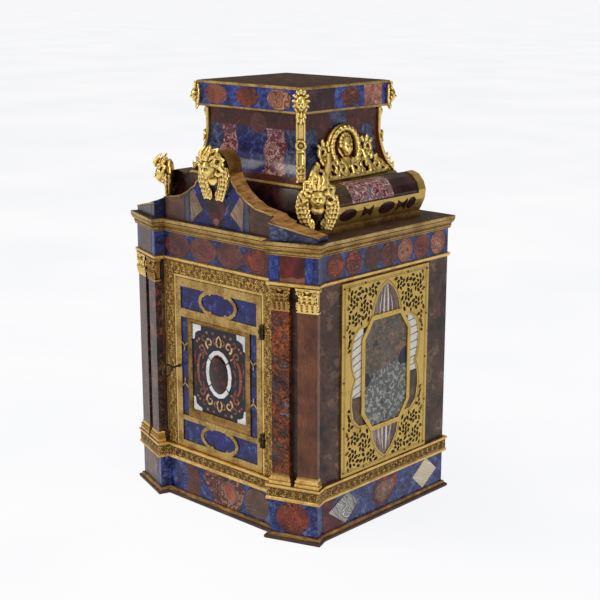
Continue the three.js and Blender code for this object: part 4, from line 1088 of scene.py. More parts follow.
# Side panels
# Each side has a pierced sheet of gilt bronze pinned over the wall. Its lobed window shows an octagon
# of mottled stone in a bevelled frame, banded stone in the lobes and striped stone in the tongues.
SIDE_MIDDLE_Y = 17.3
WINDOW_MIDDLE = 214.0
PLATE_HALF = 91.7
PLATE_LOW, PLATE_HIGH = 80.0, 350.0
SLAB_FACE = 1.4
TONGUE = {"half": 29, "base": 78, "point": 125}
LOBE = {"reach": 71, "notch": 62, "end": 36, "top": 70}
backing = mottled("panel_backing", [tint(20, 14, 14), tint(40, 28, 28), tint(56, 40, 38)], 60)
dress(["side_stone_right", "side_stone_left"], backing)


def curve(start, bend, end, steps=10):
    """Points along a quadratic curve, without its first point."""
    points = []
    for i in range(1, steps + 1):
        t = i / steps
        points.append(tuple((1 - t) ** 2 * a + 2 * t * (1 - t) * b + t * t * c for a, b, c in zip(start,
                    bend, end)))
    return points


def lobe_outline(side, grow=0.0):
    """The two lobes on one side of the window, from the lower end to the upper end."""
    reach, notch = side * (LOBE["reach"] + grow), side * (LOBE["notch"] + grow)
    low, high = (side * LOBE["end"], -LOBE["top"] - grow), (side * LOBE["end"], LOBE["top"] + grow)
    points = [low]
    points += curve(low, (reach, -74 - grow), (reach, -36))
    points += curve((reach, -36), (reach, -10), (notch, 0))
    points += curve((notch, 0), (reach, 10), (reach, 36))
    points += curve((reach, 36), (reach, 74 + grow), high)
    return points


def tongue_outline(up, grow=0.0):
    """The pointed tongue above or below the octagon."""
    half, base, point = TONGUE["half"] + grow, up * TONGUE["base"], up * (TONGUE["point"] + grow)
    points = [(-half, base)]
    points += curve((-half, base), (3 - half, up * (110 + grow)), (0, point))
    points += curve((0, point), (half - 3, up * (110 + grow)), (half, base))
    return points


def octagon(border):
    x, y = 45.5 + border, 75.5 + border
    cut_x, cut_y = 17 + border * 0.6, 24 + border * 0.8
    corners = [(x, y - cut_y), (x - cut_x, y), (cut_x - x, y), (-x, y - cut_y)]
    return corners + [(-cx, -cy) for cx, cy in corners]


upper_stone = mottled("octagon_upper", [tint(44, 46, 48), tint(120, 116, 110), tint(70, 66, 60),
        tint(150, 120, 96), tint(96, 98, 100)],
    52, 2.0, aged=0.6)
lower_stone = mottled("octagon_lower", [tint(40, 46, 56), tint(110, 118, 124), tint(60, 66, 74),
        tint(190, 196, 196), tint(84, 92, 100)],
    150, 5.0, aged=0.5)
spot_stone = mottled("octagon_blue_spots", [tint(18, 26, 66), tint(34, 44, 104)], 70)
tongue_stone = banded("tongue_stone", [tint(70, 48, 58), tint(104, 80, 96), tint(206, 200, 214),
        tint(112, 86, 92), tint(86, 60, 66)], (0, 1, 0.05), 75, 0.006, 3.0)
lobe_white = mottled("lobe_white", [tint(176, 176, 172), tint(224, 224, 222), tint(206, 204, 200),
        tint(238, 238, 236)],
    110, 1.0, aged=0.2)
lobe_joint = mottled("lobe_joint", [tint(44, 38, 36), tint(84, 74, 68)], 90)
lobe_brown = mottled("lobe_brown", [tint(74, 60, 52), tint(112, 92, 76), tint(140, 122, 106)], 90, 2.0)


def leaf_hole(x, y, length, width, turn):
    """The outline of one sawn hole: a small leaf."""
    angle = math.radians(turn)
    shape = [(-0.5, 0.0), (-0.2, 0.42), (0.12, 0.5), (0.5, 0.08), (0.46, -0.1), (0.1, -0.44),
        (-0.22, -0.36)]
    return [(x + length * a * math.cos(angle) - width * b * math.sin(angle),
            y + length * a * math.sin(angle) + width * b * math.cos(angle)) for a, b in shape]


def near(points, x, y, gap):
    return any(math.hypot(px - x, py - y) < gap for px, py in points)


def within(points, x, y):
    """Whether x, y lies inside an outline."""
    inside = False
    for (x0, y0), (x1, y1) in zip(points, points[1:] + points[:1]):
        if (y0 > y) != (y1 > y) and x < (x1 - x0) * (y - y0) / (y1 - y0) + x0:
            inside = not inside
    return inside


SCROLL_EYES = ((68, 108), (47, 98), (64, 84), (30, 117), (76, 62), (77, 42))


def sawn_holes():
    """Leaf-shaped holes that wind in rings round scroll eyes in the four corners of the sheet."""
    window = [lobe_outline(-1, 4), lobe_outline(1, 4), tongue_outline(-1, 4), tongue_outline(1, 4),
        octagon(9)]
    middles, holes = [], []
    for number, (eye_x, eye_y) in enumerate(SCROLL_EYES):
        for ring in range(4):
            reach = 6.9 * ring
            count = max(1, round(2 * math.pi * reach / 7.6))
            for i in range(count):
                angle = 2 * math.pi * i / count + ring * 0.6 + number
                x, y = eye_x + reach * math.cos(angle), eye_y + reach * math.sin(angle)
                nearest = min(SCROLL_EYES, key=lambda eye: math.hypot(eye[0] - x, eye[1] - y))
                clear = nearest == (eye_x, eye_y) and 3 < x < 81 and 24 < y < 126.5 and not near(middles, x,
                    y, 5.6)
                if not clear or any(within(outline, x, y) or near(outline, x, y, 2.4)
                        for outline in window):
                    continue
                middles.append((x, y))
                lean = math.degrees(angle) + 48
                size = 1 + 0.16 * math.sin(3 * i + ring)
                for sx, sy in ((1, 1), (-1, 1), (1, -1), (-1, -1)):
                    outline = leaf_hole(x, y, 8.4 * size, 5.2 * size, lean)
                    holes.append([(sx * px, sy * py) for px, py in outline])
    return holes


NAILS = [(side * x, y) for side in (-1, 1) for x, y in ((87.5, -128), (87.5, -64), (87.5, 0), (87.5, 64),
        (87.5, 129), (45, 131), (45, -129.5))]
plate_gilt = gilding("plate_gilt", tint(206, 176, 98), tint(168, 134, 66), tint(70, 48, 22), 2.2, 0.36,
    0.42)

engraving = mottled("engraved_lines", [tint(44, 30, 14), tint(96, 70, 34)], 120)

for side_name, side in (("right", 1), ("left", -1)):
    place = wall(side * (HALF_WIDTH + 0.3), SIDE_MIDDLE_Y, side * 90, WINDOW_MIDDLE)
    seat = place @ Matrix.Translation((0, 0, SLAB_FACE))
    upper = [(-47.4, -4), (47.4, 12), (47.4, 54), (30, 76), (-30, 76), (-47.4, 54)]
    lower = [(-47.4, -4), (-47.4, -54), (-30, -76), (30, -76), (47.4, -54), (47.4, 12)]
    parts = [
        (seat, upper, upper_stone, 0.2), (seat, lower, lower_stone, 0.2),
        (seat, [(-48, -16), (-48, 6), (-37, 2), (-30, -8), (-36, -16)], spot_stone, 0.25),
        (seat, [(48, 0), (48, 26), (35, 22), (27, 8), (33, 0)], spot_stone, 0.25),
        (seat, tongue_outline(1, 2), tongue_stone, 0.2), (seat, tongue_outline(-1, 2), tongue_stone, 0.2),
    ]
    for up in (-1, 1):
        for x, wide, tall in ((-5, 2.6, 116), (4.5, 3.4, 119), (-14, 1.4, 108), (14, 1.6, 106)):
            parts.append((seat, tapered([(x, up * 76.2), (x * 0.9, up * (tall - 14)), (x * 0.6, up * tall)],
                        (wide, wide, 0.5)),
                    lobe_white, 0.3))
    for lobe_side in (-1, 1):
        outer = [(lobe_side * max(abs(x), 47.6), y) for x, y in lobe_outline(lobe_side, 1.5)]
        cut = int(len(outer) * (0.3 if lobe_side * side < 0 else 0.38))
        inner_x = lobe_side * 47.5
        parts.append((seat, outer[:cut + 1] + [(inner_x, outer[cut][1])], lobe_brown, 0.2))
        parts.append((seat, outer[cut:] + [(inner_x, outer[cut][1])], lobe_white, 0.2))
        for i in range(9):
            y = 62 - 11 * i
            if y > outer[cut][1]:
                slant = 8 if lobe_side * side < 0 else -3
                parts.append((seat, tapered([(lobe_side * 48, y + slant), (lobe_side * 71, y)], (0.9, 1.5)),
                        lobe_joint, 0.3))
    inlay(f"side_stones_{side_name}", parts)

    sheet = bpy.data.objects.new("sheet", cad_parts[f"side_plate_{side_name}"].data.copy())
    bpy.context.scene.collection.objects.link(sheet)
    welded = bmesh.new()
    welded.from_mesh(sheet.data)
    welded.transform(place.inverted())
    bmesh.ops.remove_doubles(welded, verts=welded.verts, dist=0.01)
    welded.to_mesh(sheet.data)
    welded.free()
    drills = bmesh.new()
    for outline in sawn_holes():
        low = [drills.verts.new((x, y, 0.4)) for x, y in outline]
        high = [drills.verts.new((x, y, 6.0)) for x, y in outline]
        drills.faces.new(low)
        drills.faces.new(high[::-1])
        for i in range(len(low)):
            drills.faces.new((low[i], high[i], high[(i + 1) % len(low)], low[(i + 1) % len(low)]))
    bmesh.ops.recalc_face_normals(drills, faces=drills.faces)
    drill_mesh = bpy.data.meshes.new("drills")
    drills.to_mesh(drill_mesh)
    drills.free()
    drill = bpy.data.objects.new("drills", drill_mesh)
    bpy.context.scene.collection.objects.link(drill)
    sawing = sheet.modifiers.new("sawing", "BOOLEAN")
    sawing.operation = "DIFFERENCE"
    sawing.solver = "MANIFOLD"
    sawing.object = drill
    sawn = bpy.data.meshes.new_from_object(sheet.evaluated_get(bpy.context.evaluated_depsgraph_get()))
    sawn.transform(place)
    bpy.data.objects.remove(sheet)
    bpy.data.objects.remove(drill)
    sawn.materials.clear()
    sawn.materials.append(plate_gilt.material)
    plate = bpy.data.objects.new(f"side_sheet_{side_name}", sawn)
    bpy.context.scene.collection.objects.link(plate)
    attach(plate, "cabinet")
    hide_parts(f"side_plate_{side_name}")

    face = place @ Matrix.Translation((0, 0, 2.6))
    nails = [(face, oval(x, y, 1.5, 1.5, 8), iron, 0.7) for x, y in NAILS]
    inlay(f"side_nails_{side_name}", nails)

    engraved = []
    for grow in (2.0, 3.4):
        outlines = [lobe_outline(-1, grow)[2:-2], lobe_outline(1, grow)[2:-2], tongue_outline(1, grow),
            tongue_outline(-1, grow)]
        for outline in outlines:
            engraved += [(face, bit, engraving, 0.04) for bit in strips(outline, [0.55] * len(outline))]
    for inward in (4.6, 6.6):
        across, up = PLATE_HALF - inward, (PLATE_HIGH - PLATE_LOW) / 2 - inward
        centre_y = (PLATE_HIGH + PLATE_LOW) / 2 - WINDOW_MIDDLE
        loop = [(-across, centre_y - up), (across, centre_y - up), (across, centre_y + up),
            (-across, centre_y + up)]
        engraved += [(face, tapered([a, b], (0.6, 0.6)), engraving, 0.04) for a, b in zip(loop,
                loop[1:] + loop[:1])]
    inlay(f"side_engraving_{side_name}", engraved)

# Entablature
# A thin gilt moulding, a frieze of lapis with a round agate after another let into it, and a gilded
# wooden cornice whose flat top is bare dark wood.
FRIEZE_LOW, FRIEZE_HIGH = 358.4, 392.8
FRIEZE_MIDDLE = (FRIEZE_LOW + FRIEZE_HIGH) / 2
frieze_lapis = lapis_stone("frieze_lapis", tint(26, 34, 96), tint(44, 62, 140), 60, 0.7, 5.0)
cornice_gilt = gilding("cornice_gilt", tint(190, 154, 84), tint(128, 92, 44), tint(46, 29, 15), 3.0, 0.36,
    0.48)
dress(["architrave"], bright_gilt)
dress(["frieze"], frieze_lapis)
CORNICE_FILLET = 406.5


def cornice_rule(centre, normal):
    return 1 if normal.z > 0.9 else 2 if centre.z > CORNICE_FILLET else 0


dress(["cornice"], cornice_gilt, dark_wood, pale_gilt, rule=cornice_rule)

ROSE = [(0.12, tint(92, 74, 88)), (0.28, tint(190, 120, 110)), (0.4, tint(110, 44, 46)),
    (0.52, tint(160, 84, 76)),
    (0.62, tint(84, 32, 38)), (0.76, tint(184, 116, 104)), (0.9, tint(96, 40, 44))]
EMBER = [(0.12, tint(84, 34, 32)), (0.28, tint(206, 100, 60)), (0.4, tint(120, 34, 26)),
    (0.52, tint(190, 80, 46)),
    (0.64, tint(96, 28, 26)), (0.78, tint(214, 128, 84)), (0.92, tint(90, 30, 28))]
PLUM = [(0.15, tint(110, 60, 60)), (0.35, tint(56, 24, 34)), (0.5, tint(112, 56, 54)),
    (0.65, tint(44, 20, 30)), (0.85, tint(96, 50, 56))]
BLUSH = [(0.15, tint(214, 170, 150)), (0.33, tint(150, 70, 58)), (0.46, tint(200, 130, 108)),
    (0.58, tint(110, 50, 50)), (0.75, tint(206, 160, 144)), (0.9, tint(130, 66, 60))]
# Painted shadow: the beads marked 1 are dark brown strips that stand in for the shadow lines between the
# cornice's mouldings; the others are pale gilt beads.
CORNICE_BEADS = ((405.8, 6.3, 0.6, 1), (402.4, 5.1, 0.6, 0), (399.8, 3.4, 0.5, 1), (397.4, 3.0, 0.7, 0),
    (394.6, 2.4, 0.5, 1))
shadow_bead_finish = mottled("cornice_shadow_lines", [tint(40, 24, 12), tint(74, 48, 24)], 120)
for number, (height, reach, radius, dark) in enumerate(CORNICE_BEADS):
    bead_points, bead_faces = [], []
    for place, length in list(plan_edges(reach))[:-1]:
        bead = tube([(0, height, 0), (length, height, 0)], [radius] * 2, 8)
        bead.verts.index_update()
        start = len(bead_points)
        bead_points += [place @ v.co for v in bead.verts]
        bead_faces += [tuple(start + v.index for v in face.verts) for face in bead.faces]
        bead.free()
    piece(f"cornice_bead_{number}", bead_points, bead_faces, [shadow_bead_finish if dark else pale_gilt],
        smooth=True)

frieze_parts = []
for number, x in enumerate((-79.5, -26.5, 26.5, 79.5)):
    colours = EMBER if number == 3 else ROSE
    round_agate = agate(f"frieze_front_agate_{number}", colours, at(FRONT, x, FRIEZE_MIDDLE), 22, 2.8,
        0.012, number + 1.0)
    frieze_parts.append((FRONT, oval(x, FRIEZE_MIDDLE, 26.3, 17.1, 30), round_agate))
pier_red = mottled("frieze_red_panel", [tint(70, 18, 22), tint(124, 34, 30), tint(160, 60, 44)], 50, 2.0)
pale_edge = mottled("frieze_pale_edge", [tint(170, 110, 96), tint(206, 160, 140)], 90, 2.0)
bright_lapis = lapis_stone("bright_lapis", tint(30, 44, 140), tint(52, 84, 190), 70, 0.68, 7.0)
pier_brown = mottled("frieze_left_brown", [tint(60, 34, 40), tint(92, 52, 50), tint(112, 76, 72)], 60, 4.0)
frieze_parts += [
    (RIGHT_PIER, block(-33.5, -21, FRIEZE_LOW, FRIEZE_HIGH), bright_lapis),
    (RIGHT_PIER, block(-19, 16, FRIEZE_LOW + 5, FRIEZE_HIGH), pier_red),
    (RIGHT_PIER, [(-19, FRIEZE_LOW), (16, FRIEZE_LOW), (16, FRIEZE_LOW + 8), (6, FRIEZE_LOW + 5),
            (-2, FRIEZE_LOW + 7), (-12, FRIEZE_LOW + 4.4), (-19, FRIEZE_LOW + 5)], pale_edge, 0.35),
    (RIGHT_PIER, block(18, 27, FRIEZE_LOW, FRIEZE_HIGH), bright_lapis),
    (LEFT_PIER, block(-26, 22, FRIEZE_LOW, FRIEZE_HIGH), pier_brown),
    (LEFT_PIER, block(23.5, 33, FRIEZE_LOW, FRIEZE_HIGH), bright_lapis),
]
SIDE_ROUNDS = ((-86, EMBER), (-49, EMBER), (-11, PLUM), (24, EMBER), (58, BLUSH), (94, EMBER), (132, BLUSH))
for number, (y, colours) in enumerate(SIDE_ROUNDS):
    for place, way in ((RIGHT_SIDE, 1), (LEFT_SIDE, -1)):
        label = f"frieze_side_agate_{number}_{'right' if way > 0 else 'left'}"
        round_agate = agate(label, colours, at(place, way * y, FRIEZE_MIDDLE), 19, 2.6, 0.016, number + 5.0)
        frieze_parts.append((place, oval(way * y, FRIEZE_MIDDLE, 16.5, 16.6, 26), round_agate))
inlay("frieze_stones", frieze_parts)

# Cushion base
# Two full rolls veneered with purple and pink-white breccia carry the neck. A sheet of gilt bronze
# pierced with ovals and crosses is bent round the lower half of each, with a plain strip at its back.
CUSHION_ROLL = [(143, 411), (143, 419), (141, 420), (144, 425), (150, 438), (151.3, 450), (147.5, 460),
    (139, 469), (126, 472.8), (115, 470.5), (109.5, 467.5)]
dark_purple = mottled("cushion_purple", [tint(26, 12, 22), tint(60, 26, 44), tint(84, 44, 60)], 60, 3.0)
speckled = breccia("cushion_breccia", [(0.3, tint(70, 24, 40)), (0.42, tint(150, 66, 84)),
        (0.5, tint(226, 206, 210)), (0.58, tint(150, 70, 86)), (0.68, tint(120, 140, 150))], 105,
    tint(84, 30, 48), 0.03, 2.0, aged=0.4)
grey_brown = mottled("cushion_grey_brown", [tint(50, 40, 34), tint(96, 84, 70), tint(84, 50, 48)], 60, 5.0)
GILT_FOOT_TOP = 420.2
dress(["cushion"], dark_purple, brown_gilt, rule=lambda centre, normal: int(centre.z < GILT_FOOT_TOP))


def roll_points(low, high, out):
    """The roll's profile between two heights on its outer side, moved out, as (x, z) in mm."""
    fine = []
    for (x0, z0), (x1, z1) in zip(CUSHION_ROLL[2:], CUSHION_ROLL[3:]):
        fine += [(x0 + (x1 - x0) * i / 6, z0 + (z1 - z0) * i / 6) for i in range(6)]
    middle = (126.0, 446.0)
    kept = [point for point in fine if point[0] > middle[0] and low <= point[1] <= high or low > 440
        and point[0] <= middle[0]]
    moved = []
    for x, z in kept:
        reach = math.hypot(x - middle[0], z - middle[1])
        moved.append((x + (x - middle[0]) / reach * out, z + (z - middle[1]) / reach * out))
    return moved


def roll_strip(low, high, front, back, inner, outer, side):
    """A closed strip bent over the roll between two places along it, as points in mm and faces."""
    rim = roll_points(low, high, outer) + roll_points(low, high, inner)[::-1]
    points = [(side * x, y, z) for y in (front, back) for x, z in rim]
    count = len(rim)
    faces = [(i, (i + 1) % count, count + (i + 1) % count, count + i) for i in range(count)]
    half = count // 2
    for start in (0, count):
        faces += [(start + i, start + i + 1, start + count - 2 - i, start + count - 1 - i)
            for i in range(half - 1)]
    return points, faces


def solid_of(points, faces, label):
    """A scratch object with outward faces, in mm."""
    made = bmesh.new()
    corners = [made.verts.new(point) for point in points]
    for face in faces:
        made.faces.new([corners[i] for i in face])
    bmesh.ops.recalc_face_normals(made, faces=made.faces)
    mesh = bpy.data.meshes.new(label)
    made.to_mesh(mesh)
    made.free()
    held = bpy.data.objects.new(label, mesh)
    bpy.context.scene.collection.objects.link(held)
    return held


WINDOW_HEIGHT = 433.4
OVAL_WINDOWS = ((-35.5, 17.5), (44.5, 17.5), (98, 9.5))
CROSS_WINDOWS = (4.5, 77)
for side_name, side in (("right", 1), ("left", -1)):
    veneers = []
    for front, back, stone in ((-91, -28, grey_brown), (-28, 58, speckled), (58, 111.5, dark_purple)):
        veneers.append((roll_strip(446.7, 473, front, back, -0.4, 0.2, side), stone))
    veneer_points, veneer_faces, veneer_numbers = [], [], []
    for (strip_points, strip_faces), stone in veneers:
        start = len(veneer_points)
        veneer_points += [Vector(point) * MM for point in strip_points]
        veneer_faces += [tuple(start + i for i in face) for face in strip_faces]
        veneer_numbers += [[grey_brown, speckled, dark_purple].index(stone)] * len(strip_faces)
    piece(f"cushion_veneer_{side_name}", veneer_points, veneer_faces, [grey_brown, speckled, dark_purple],
        finish_of=veneer_numbers)

    band = solid_of(*roll_strip(420.2, 446.6, -62, 111.5, 0.3, 1.9, side), "band")
    openings = []
    for y, half in OVAL_WINDOWS:
        openings.append([(px, py) for px, py in oval(y, WINDOW_HEIGHT, half, 8.8, 24)])
    for y in CROSS_WINDOWS:
        waist = [(-11, -8.6), (0, -2.6), (11, -8.6), (11, 8.6), (0, 2.6), (-11, 8.6)]
        openings.append([(y + px, WINDOW_HEIGHT + py) for px, py in waist])
    for outline in openings:
        count = len(outline)
        points = [(side * x, y, z) for x in (120, 160) for y, z in outline]
        faces = [(i, (i + 1) % count, count + (i + 1) % count, count + i) for i in range(count)]
        faces += [tuple(range(count)), tuple(range(count, 2 * count))]
        saw = solid_of(points, faces, "saw")
        cutting = band.modifiers.new("cutting", "BOOLEAN")
        cutting.operation = "DIFFERENCE"
        cutting.solver = "MANIFOLD"
        cutting.object = saw
        cut_band = bpy.data.meshes.new_from_object(band.evaluated_get(bpy.context.evaluated_depsgraph_get()))
        band.modifiers.clear()
        band.data = cut_band
        bpy.data.objects.remove(saw)
    end_points, end_faces = roll_strip(420.2, 473, 111.5, 126.5, 0.3, 1.9, side)
    start = len(band.data.vertices)
    points = [v.co * MM for v in band.data.vertices] + [Vector(point) * MM for point in end_points]
    faces = [tuple(face.vertices) for face in band.data.polygons] + [tuple(start + i for i in face)
        for face in end_faces]
    bpy.data.objects.remove(band)
    strap = piece(f"cushion_strap_{side_name}", points, faces, [plate_gilt])
    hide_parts(f"cushion_band_{side_name}")

# Neck and block
# A square shaft with hollow sides, veneered with large pieces of lapis, breccia and red jasper, and a
# block on it with round agates between lapis strips, held by thin gilt fillets.
neck_blue = lapis_stone("neck_blue", tint(34, 44, 96), tint(72, 84, 132), 90, 0.62, 9.0)
neck_lapis = lapis_stone("neck_lapis", tint(18, 22, 104), tint(34, 46, 138), 60, 0.76, 4.0)
neck_red = mottled("neck_red", [tint(44, 16, 18), tint(104, 42, 34), tint(70, 28, 28), tint(140, 74, 52)],
    60, 2.0)
neck_breccia = breccia("neck_breccia", [(0.3, tint(96, 24, 34)), (0.43, tint(150, 60, 66)),
        (0.5, tint(226, 206, 210)), (0.57, tint(140, 56, 66)), (0.68, tint(90, 60, 90))], 125,
    tint(84, 26, 38), 0.03, 5.0, aged=0.5)
NECK_PROFILE = [(106, 473), (102.6, 479), (99.5, 485), (95.4, 496), (93, 506), (91, 517), (90, 530),
    (90, 564)]
DEPTH_LESS = 9.5
FRONT_BLOCKS = {
    (473, 481): [(2, neck_red)],
    (481, 541): [(-0.65, neck_blue), (-0.32, neck_breccia), (0.28, neck_lapis), (0.69, neck_breccia),
        (2, neck_blue)],
    (541, 565): [(2, neck_red)],
}
SIDE_BLOCKS = {
    (473, 481): [(2, neck_red)],
    (481, 541): [(-0.6, neck_blue), (0.5, neck_red), (0.82, neck_blue), (2, neck_red)],
    (541, 565): [(-0.3, neck_red), (0.15, neck_blue), (2, neck_red)],
}


def neck_half(z):
    """Half the neck's width at a height, on a smooth hollow through the CAD profile."""
    xs = [row[1] for row in NECK_PROFILE]
    return float(np.interp(z, xs, [row[0] for row in NECK_PROFILE]))


neck_finishes = [neck_blue, neck_lapis, neck_red, neck_breccia]
neck_points, neck_faces, neck_numbers = [], [], []
COLUMNS = 90
levels = sorted({*np.linspace(473, 564, 44).tolist(), 481.0, 541.0})
for turn, blocks, less, other in ((0, FRONT_BLOCKS, 0, DEPTH_LESS), (90, SIDE_BLOCKS, DEPTH_LESS, 0),
        (180, FRONT_BLOCKS, 0, DEPTH_LESS), (270, SIDE_BLOCKS, DEPTH_LESS, 0)):
    start = len(neck_points)
    place = wall(0, 17.3, turn)
    for z in levels:
        half = neck_half(z)
        for i in range(COLUMNS + 1):
            across = (half - less) * (2 * i / COLUMNS - 1)
            neck_points.append(place @ Vector((across, z, half - other)))
    row = COLUMNS + 1
    for level in range(len(levels) - 1):
        middle = (levels[level] + levels[level + 1]) / 2
        stones = next(found for (low, high), found in blocks.items() if low <= middle < high)
        for i in range(COLUMNS):
            share = 2 * (i + 0.5) / COLUMNS - 1
            share += 0.035 * math.sin(middle * 0.16 + 5 * share)
            finish = next(stone for limit, stone in stones if share < limit)
            first = start + level * row + i
            neck_faces.append((first, first + 1, first + row + 1, first + row))
            neck_numbers.append(neck_finishes.index(finish))
neck = piece("neck_veneer", neck_points, neck_faces, neck_finishes, finish_of=neck_numbers,
    smooth=True)
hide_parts("neck")
neck_agate = agate("neck_agate", ROSE, Vector((0.012, -0.0632, 0.547)), 17, 2.4, 0.014, 3.0)
NECK_FRONT = wall(0, 17.3 - 80.5, 0)
inlay("neck_round_agate", [(NECK_FRONT, oval(12, 547, 16, 14.5, 26), neck_agate, 0.4)])
dress(["neck_fillet", "block_fillet_low", "block_fillet_top"], pale_gilt)

BLOCK_LOW, BLOCK_HIGH = 567.8, 595.6
BLOCK_MIDDLE = (BLOCK_LOW + BLOCK_HIGH) / 2
BLOCK_FRONT = wall(0, 17.3 - 90, 0)
BLOCK_BACK = wall(0, 17.3 + 90, 180)
BLOCK_RIGHT = wall(99.5, 17.3, 90)
BLOCK_LEFT = wall(-99.5, 17.3, -90)
dress(["block"], bright_lapis)
block_purple = mottled("block_purple", [tint(34, 14, 24), tint(66, 30, 44), tint(104, 70, 90)], 60, 6.0)
pink_white = breccia("block_pink_white", [(0.2, tint(140, 60, 64)), (0.5, tint(176, 110, 108)),
        (0.75, tint(222, 190, 184))],
    150, tint(200, 160, 156), 0.012, 7.0)
PEACH = [(0.12, tint(80, 76, 92)), (0.28, tint(206, 156, 146)), (0.42, tint(150, 84, 76)),
    (0.55, tint(212, 140, 110)), (0.68, tint(140, 60, 48)), (0.85, tint(200, 120, 80))]
block_parts = []
for face_name, place in (("front", BLOCK_FRONT), ("back", BLOCK_BACK)):
    for number, (x, colours) in enumerate(((-62, PEACH), (0, EMBER), (60, BLUSH))):
        round_agate = agate(f"block_agate_{face_name}_{number}", colours, at(place, x - 3, BLOCK_MIDDLE),
            20, 2.4, 0.018, number + 2.0)
        block_parts.append((place, oval(x, BLOCK_MIDDLE, 22.5, 13.6, 28), round_agate))
for face_name, place, way in (("right", BLOCK_RIGHT, 1), ("left", BLOCK_LEFT, -1)):
    fire = agate(f"block_agate_{face_name}", EMBER, at(place, way * 8, BLOCK_MIDDLE), 20, 2.2, 0.02, 6.0)
    block_parts += [
        (place, block(*sorted((way * -78, way * -24)), BLOCK_LOW, BLOCK_HIGH), block_purple),
        (place, oval(way * 8, BLOCK_MIDDLE, 18, 13.6, 26), fire),
        (place, block(*sorted((way * 36, way * 74)), BLOCK_LOW, BLOCK_HIGH), pink_white),
    ]
inlay("block_stones", block_parts)
rough_wood = wood("rough_wood", [tint(22, 13, 11), tint(52, 31, 24), tint(88, 58, 44)], 180, 0.75)
dress(["top_board"], rough_wood)

# Pediment
# A curved board veneered in front with a fan of jasper, lapis and banded stones between thin blue
# joints. A gilt fillet follows its edge, and its worn top and the drum of its crest are gilded wood.
PEDIMENT_FACE = wall(0, FRONT_Y + 1, 0)
PEDIMENT_SLOPE = [(107, 440), (75, 445), (55.5, 454), (41.5, 463.5), (32, 474)]


def slope_at(x):
    """The height of the pediment's edge at a distance from the middle."""
    xs, heights = zip(*sorted([(112, 436), *PEDIMENT_SLOPE, (25, 486)]))
    return float(np.interp(abs(x), xs, heights)) - 0.6


def under_slope(x0, x1, foot0=None, foot1=None, low=411.6):
    """A stone from the pediment's foot up to its curved edge between two places."""
    left_foot = x0 if foot0 is None else foot0
    right_foot = x1 if foot1 is None else foot1
    steps = max(2, int(abs(x1 - x0) / 4))
    top = [(x1 + (x0 - x1) * i / steps, slope_at(x1 + (x0 - x1) * i / steps)) for i in range(steps + 1)]
    return [(left_foot, low), (right_foot, low), *top]


edge_wood = wood("pediment_top", [tint(92, 60, 28), tint(152, 108, 56), tint(186, 146, 88)], 60, 0.45)
pediment_dark = lapis_stone("pediment_dark_lapis", tint(16, 22, 60), tint(34, 50, 110), 70, 0.72, 6.0)


CREST_Z, CREST_REACH = 490, 26.5
BEHIND_FACING = -126


def pediment_rule(centre, normal):
    on_crest = math.hypot(centre.x, centre.z - CREST_Z) < CREST_REACH and centre.y > BEHIND_FACING
    if on_crest and normal.y > -0.5:
        return 2
    return 1 if normal.z > 0.25 else 0


dress(["pediment"], pediment_dark, edge_wood, cornice_gilt, rule=pediment_rule)
brown_jasper = banded("pediment_brown_jasper", [tint(96, 70, 64), tint(128, 92, 80), tint(88, 58, 52),
        tint(140, 106, 92)],
    (0.1, 0, 1), 60, 0.02, 2.0)
triangle_stone = banded("pediment_banded_triangles", [tint(214, 204, 188), tint(120, 92, 76), tint(196, 178,
            160), tint(150, 124, 108)],
    (0.92, 0, 0.3), 90, 0.012, 4.0)
lozenge_stone = mottled("pediment_red_lozenge", [tint(48, 14, 24), tint(92, 34, 44), tint(120, 62, 66)], 50,
    3.0)
streaky = banded("pediment_streaky_blue", [tint(46, 66, 110), tint(110, 130, 160), tint(40, 52, 90),
        tint(90, 90, 100)], (1, 0, 0.1), 120,
    0.008, 5.0)
wedge_grey = mottled("pediment_grey_blue", [tint(54, 64, 84), tint(86, 98, 118), tint(60, 70, 78)], 50, 5.0)
pure_blue = lapis_stone("pediment_lapis", tint(20, 18, 120), tint(32, 32, 140), 40, 0.84, 2.0)
pediment_parts = []
for side in (-1, 1):
    def flip(points, side=side):
        return [(side * x, y) for x, y in points]

    pediment_parts += [
        (PEDIMENT_FACE, flip(under_slope(64, 103.5)), brown_jasper),
        (PEDIMENT_FACE, flip(under_slope(54, 62.5)), streaky),
        (PEDIMENT_FACE, flip(under_slope(22, 53, 40, 53)), pure_blue),
        (PEDIMENT_FACE, flip([(50, 411.8), (53, 452), (46, 458), (27, 432), (42, 420)]), triangle_stone,
            0.45),
        (PEDIMENT_FACE, flip([(14, 411.8), (39, 411.8), (20, 434)]), pure_blue),
    ]
pediment_parts += [
    (PEDIMENT_FACE, [(0, 412), (13, 424), (19, 440), (9, 458), (0, 464), (-9, 458), (-19, 440), (-13, 424)],
        lozenge_stone, 0.5),
    (PEDIMENT_FACE, oval(0, 418, 6, 5.4, 14), pink_stone, 0.7),
    (RIGHT_PIER @ Matrix.Translation((0, 0, -1)), [(-34, 411.8), (28, 411.8), (28, 417.5), (-34, 434)],
        neck_blue),
    (LEFT_PIER @ Matrix.Translation((0, 0, -1)), [(-26, 411.8), (24, 411.8), (24, 430), (-26, 418)],
        wedge_grey),
]
inlay("pediment_stones", pediment_parts)


def swept(name, path, radius, finish, body="cabinet", flat=1.0):
    """A bead laid along a path of points in metres."""
    made = tube([Vector(p) / MM for p in path], [radius] * len(path), 8, flat)
    made.verts.index_update()
    points = [v.co * MM for v in made.verts]
    faces = [tuple(v.index for v in face.verts) for face in made.faces]
    made.free()
    return piece(name, points, faces, [finish], body, smooth=True)


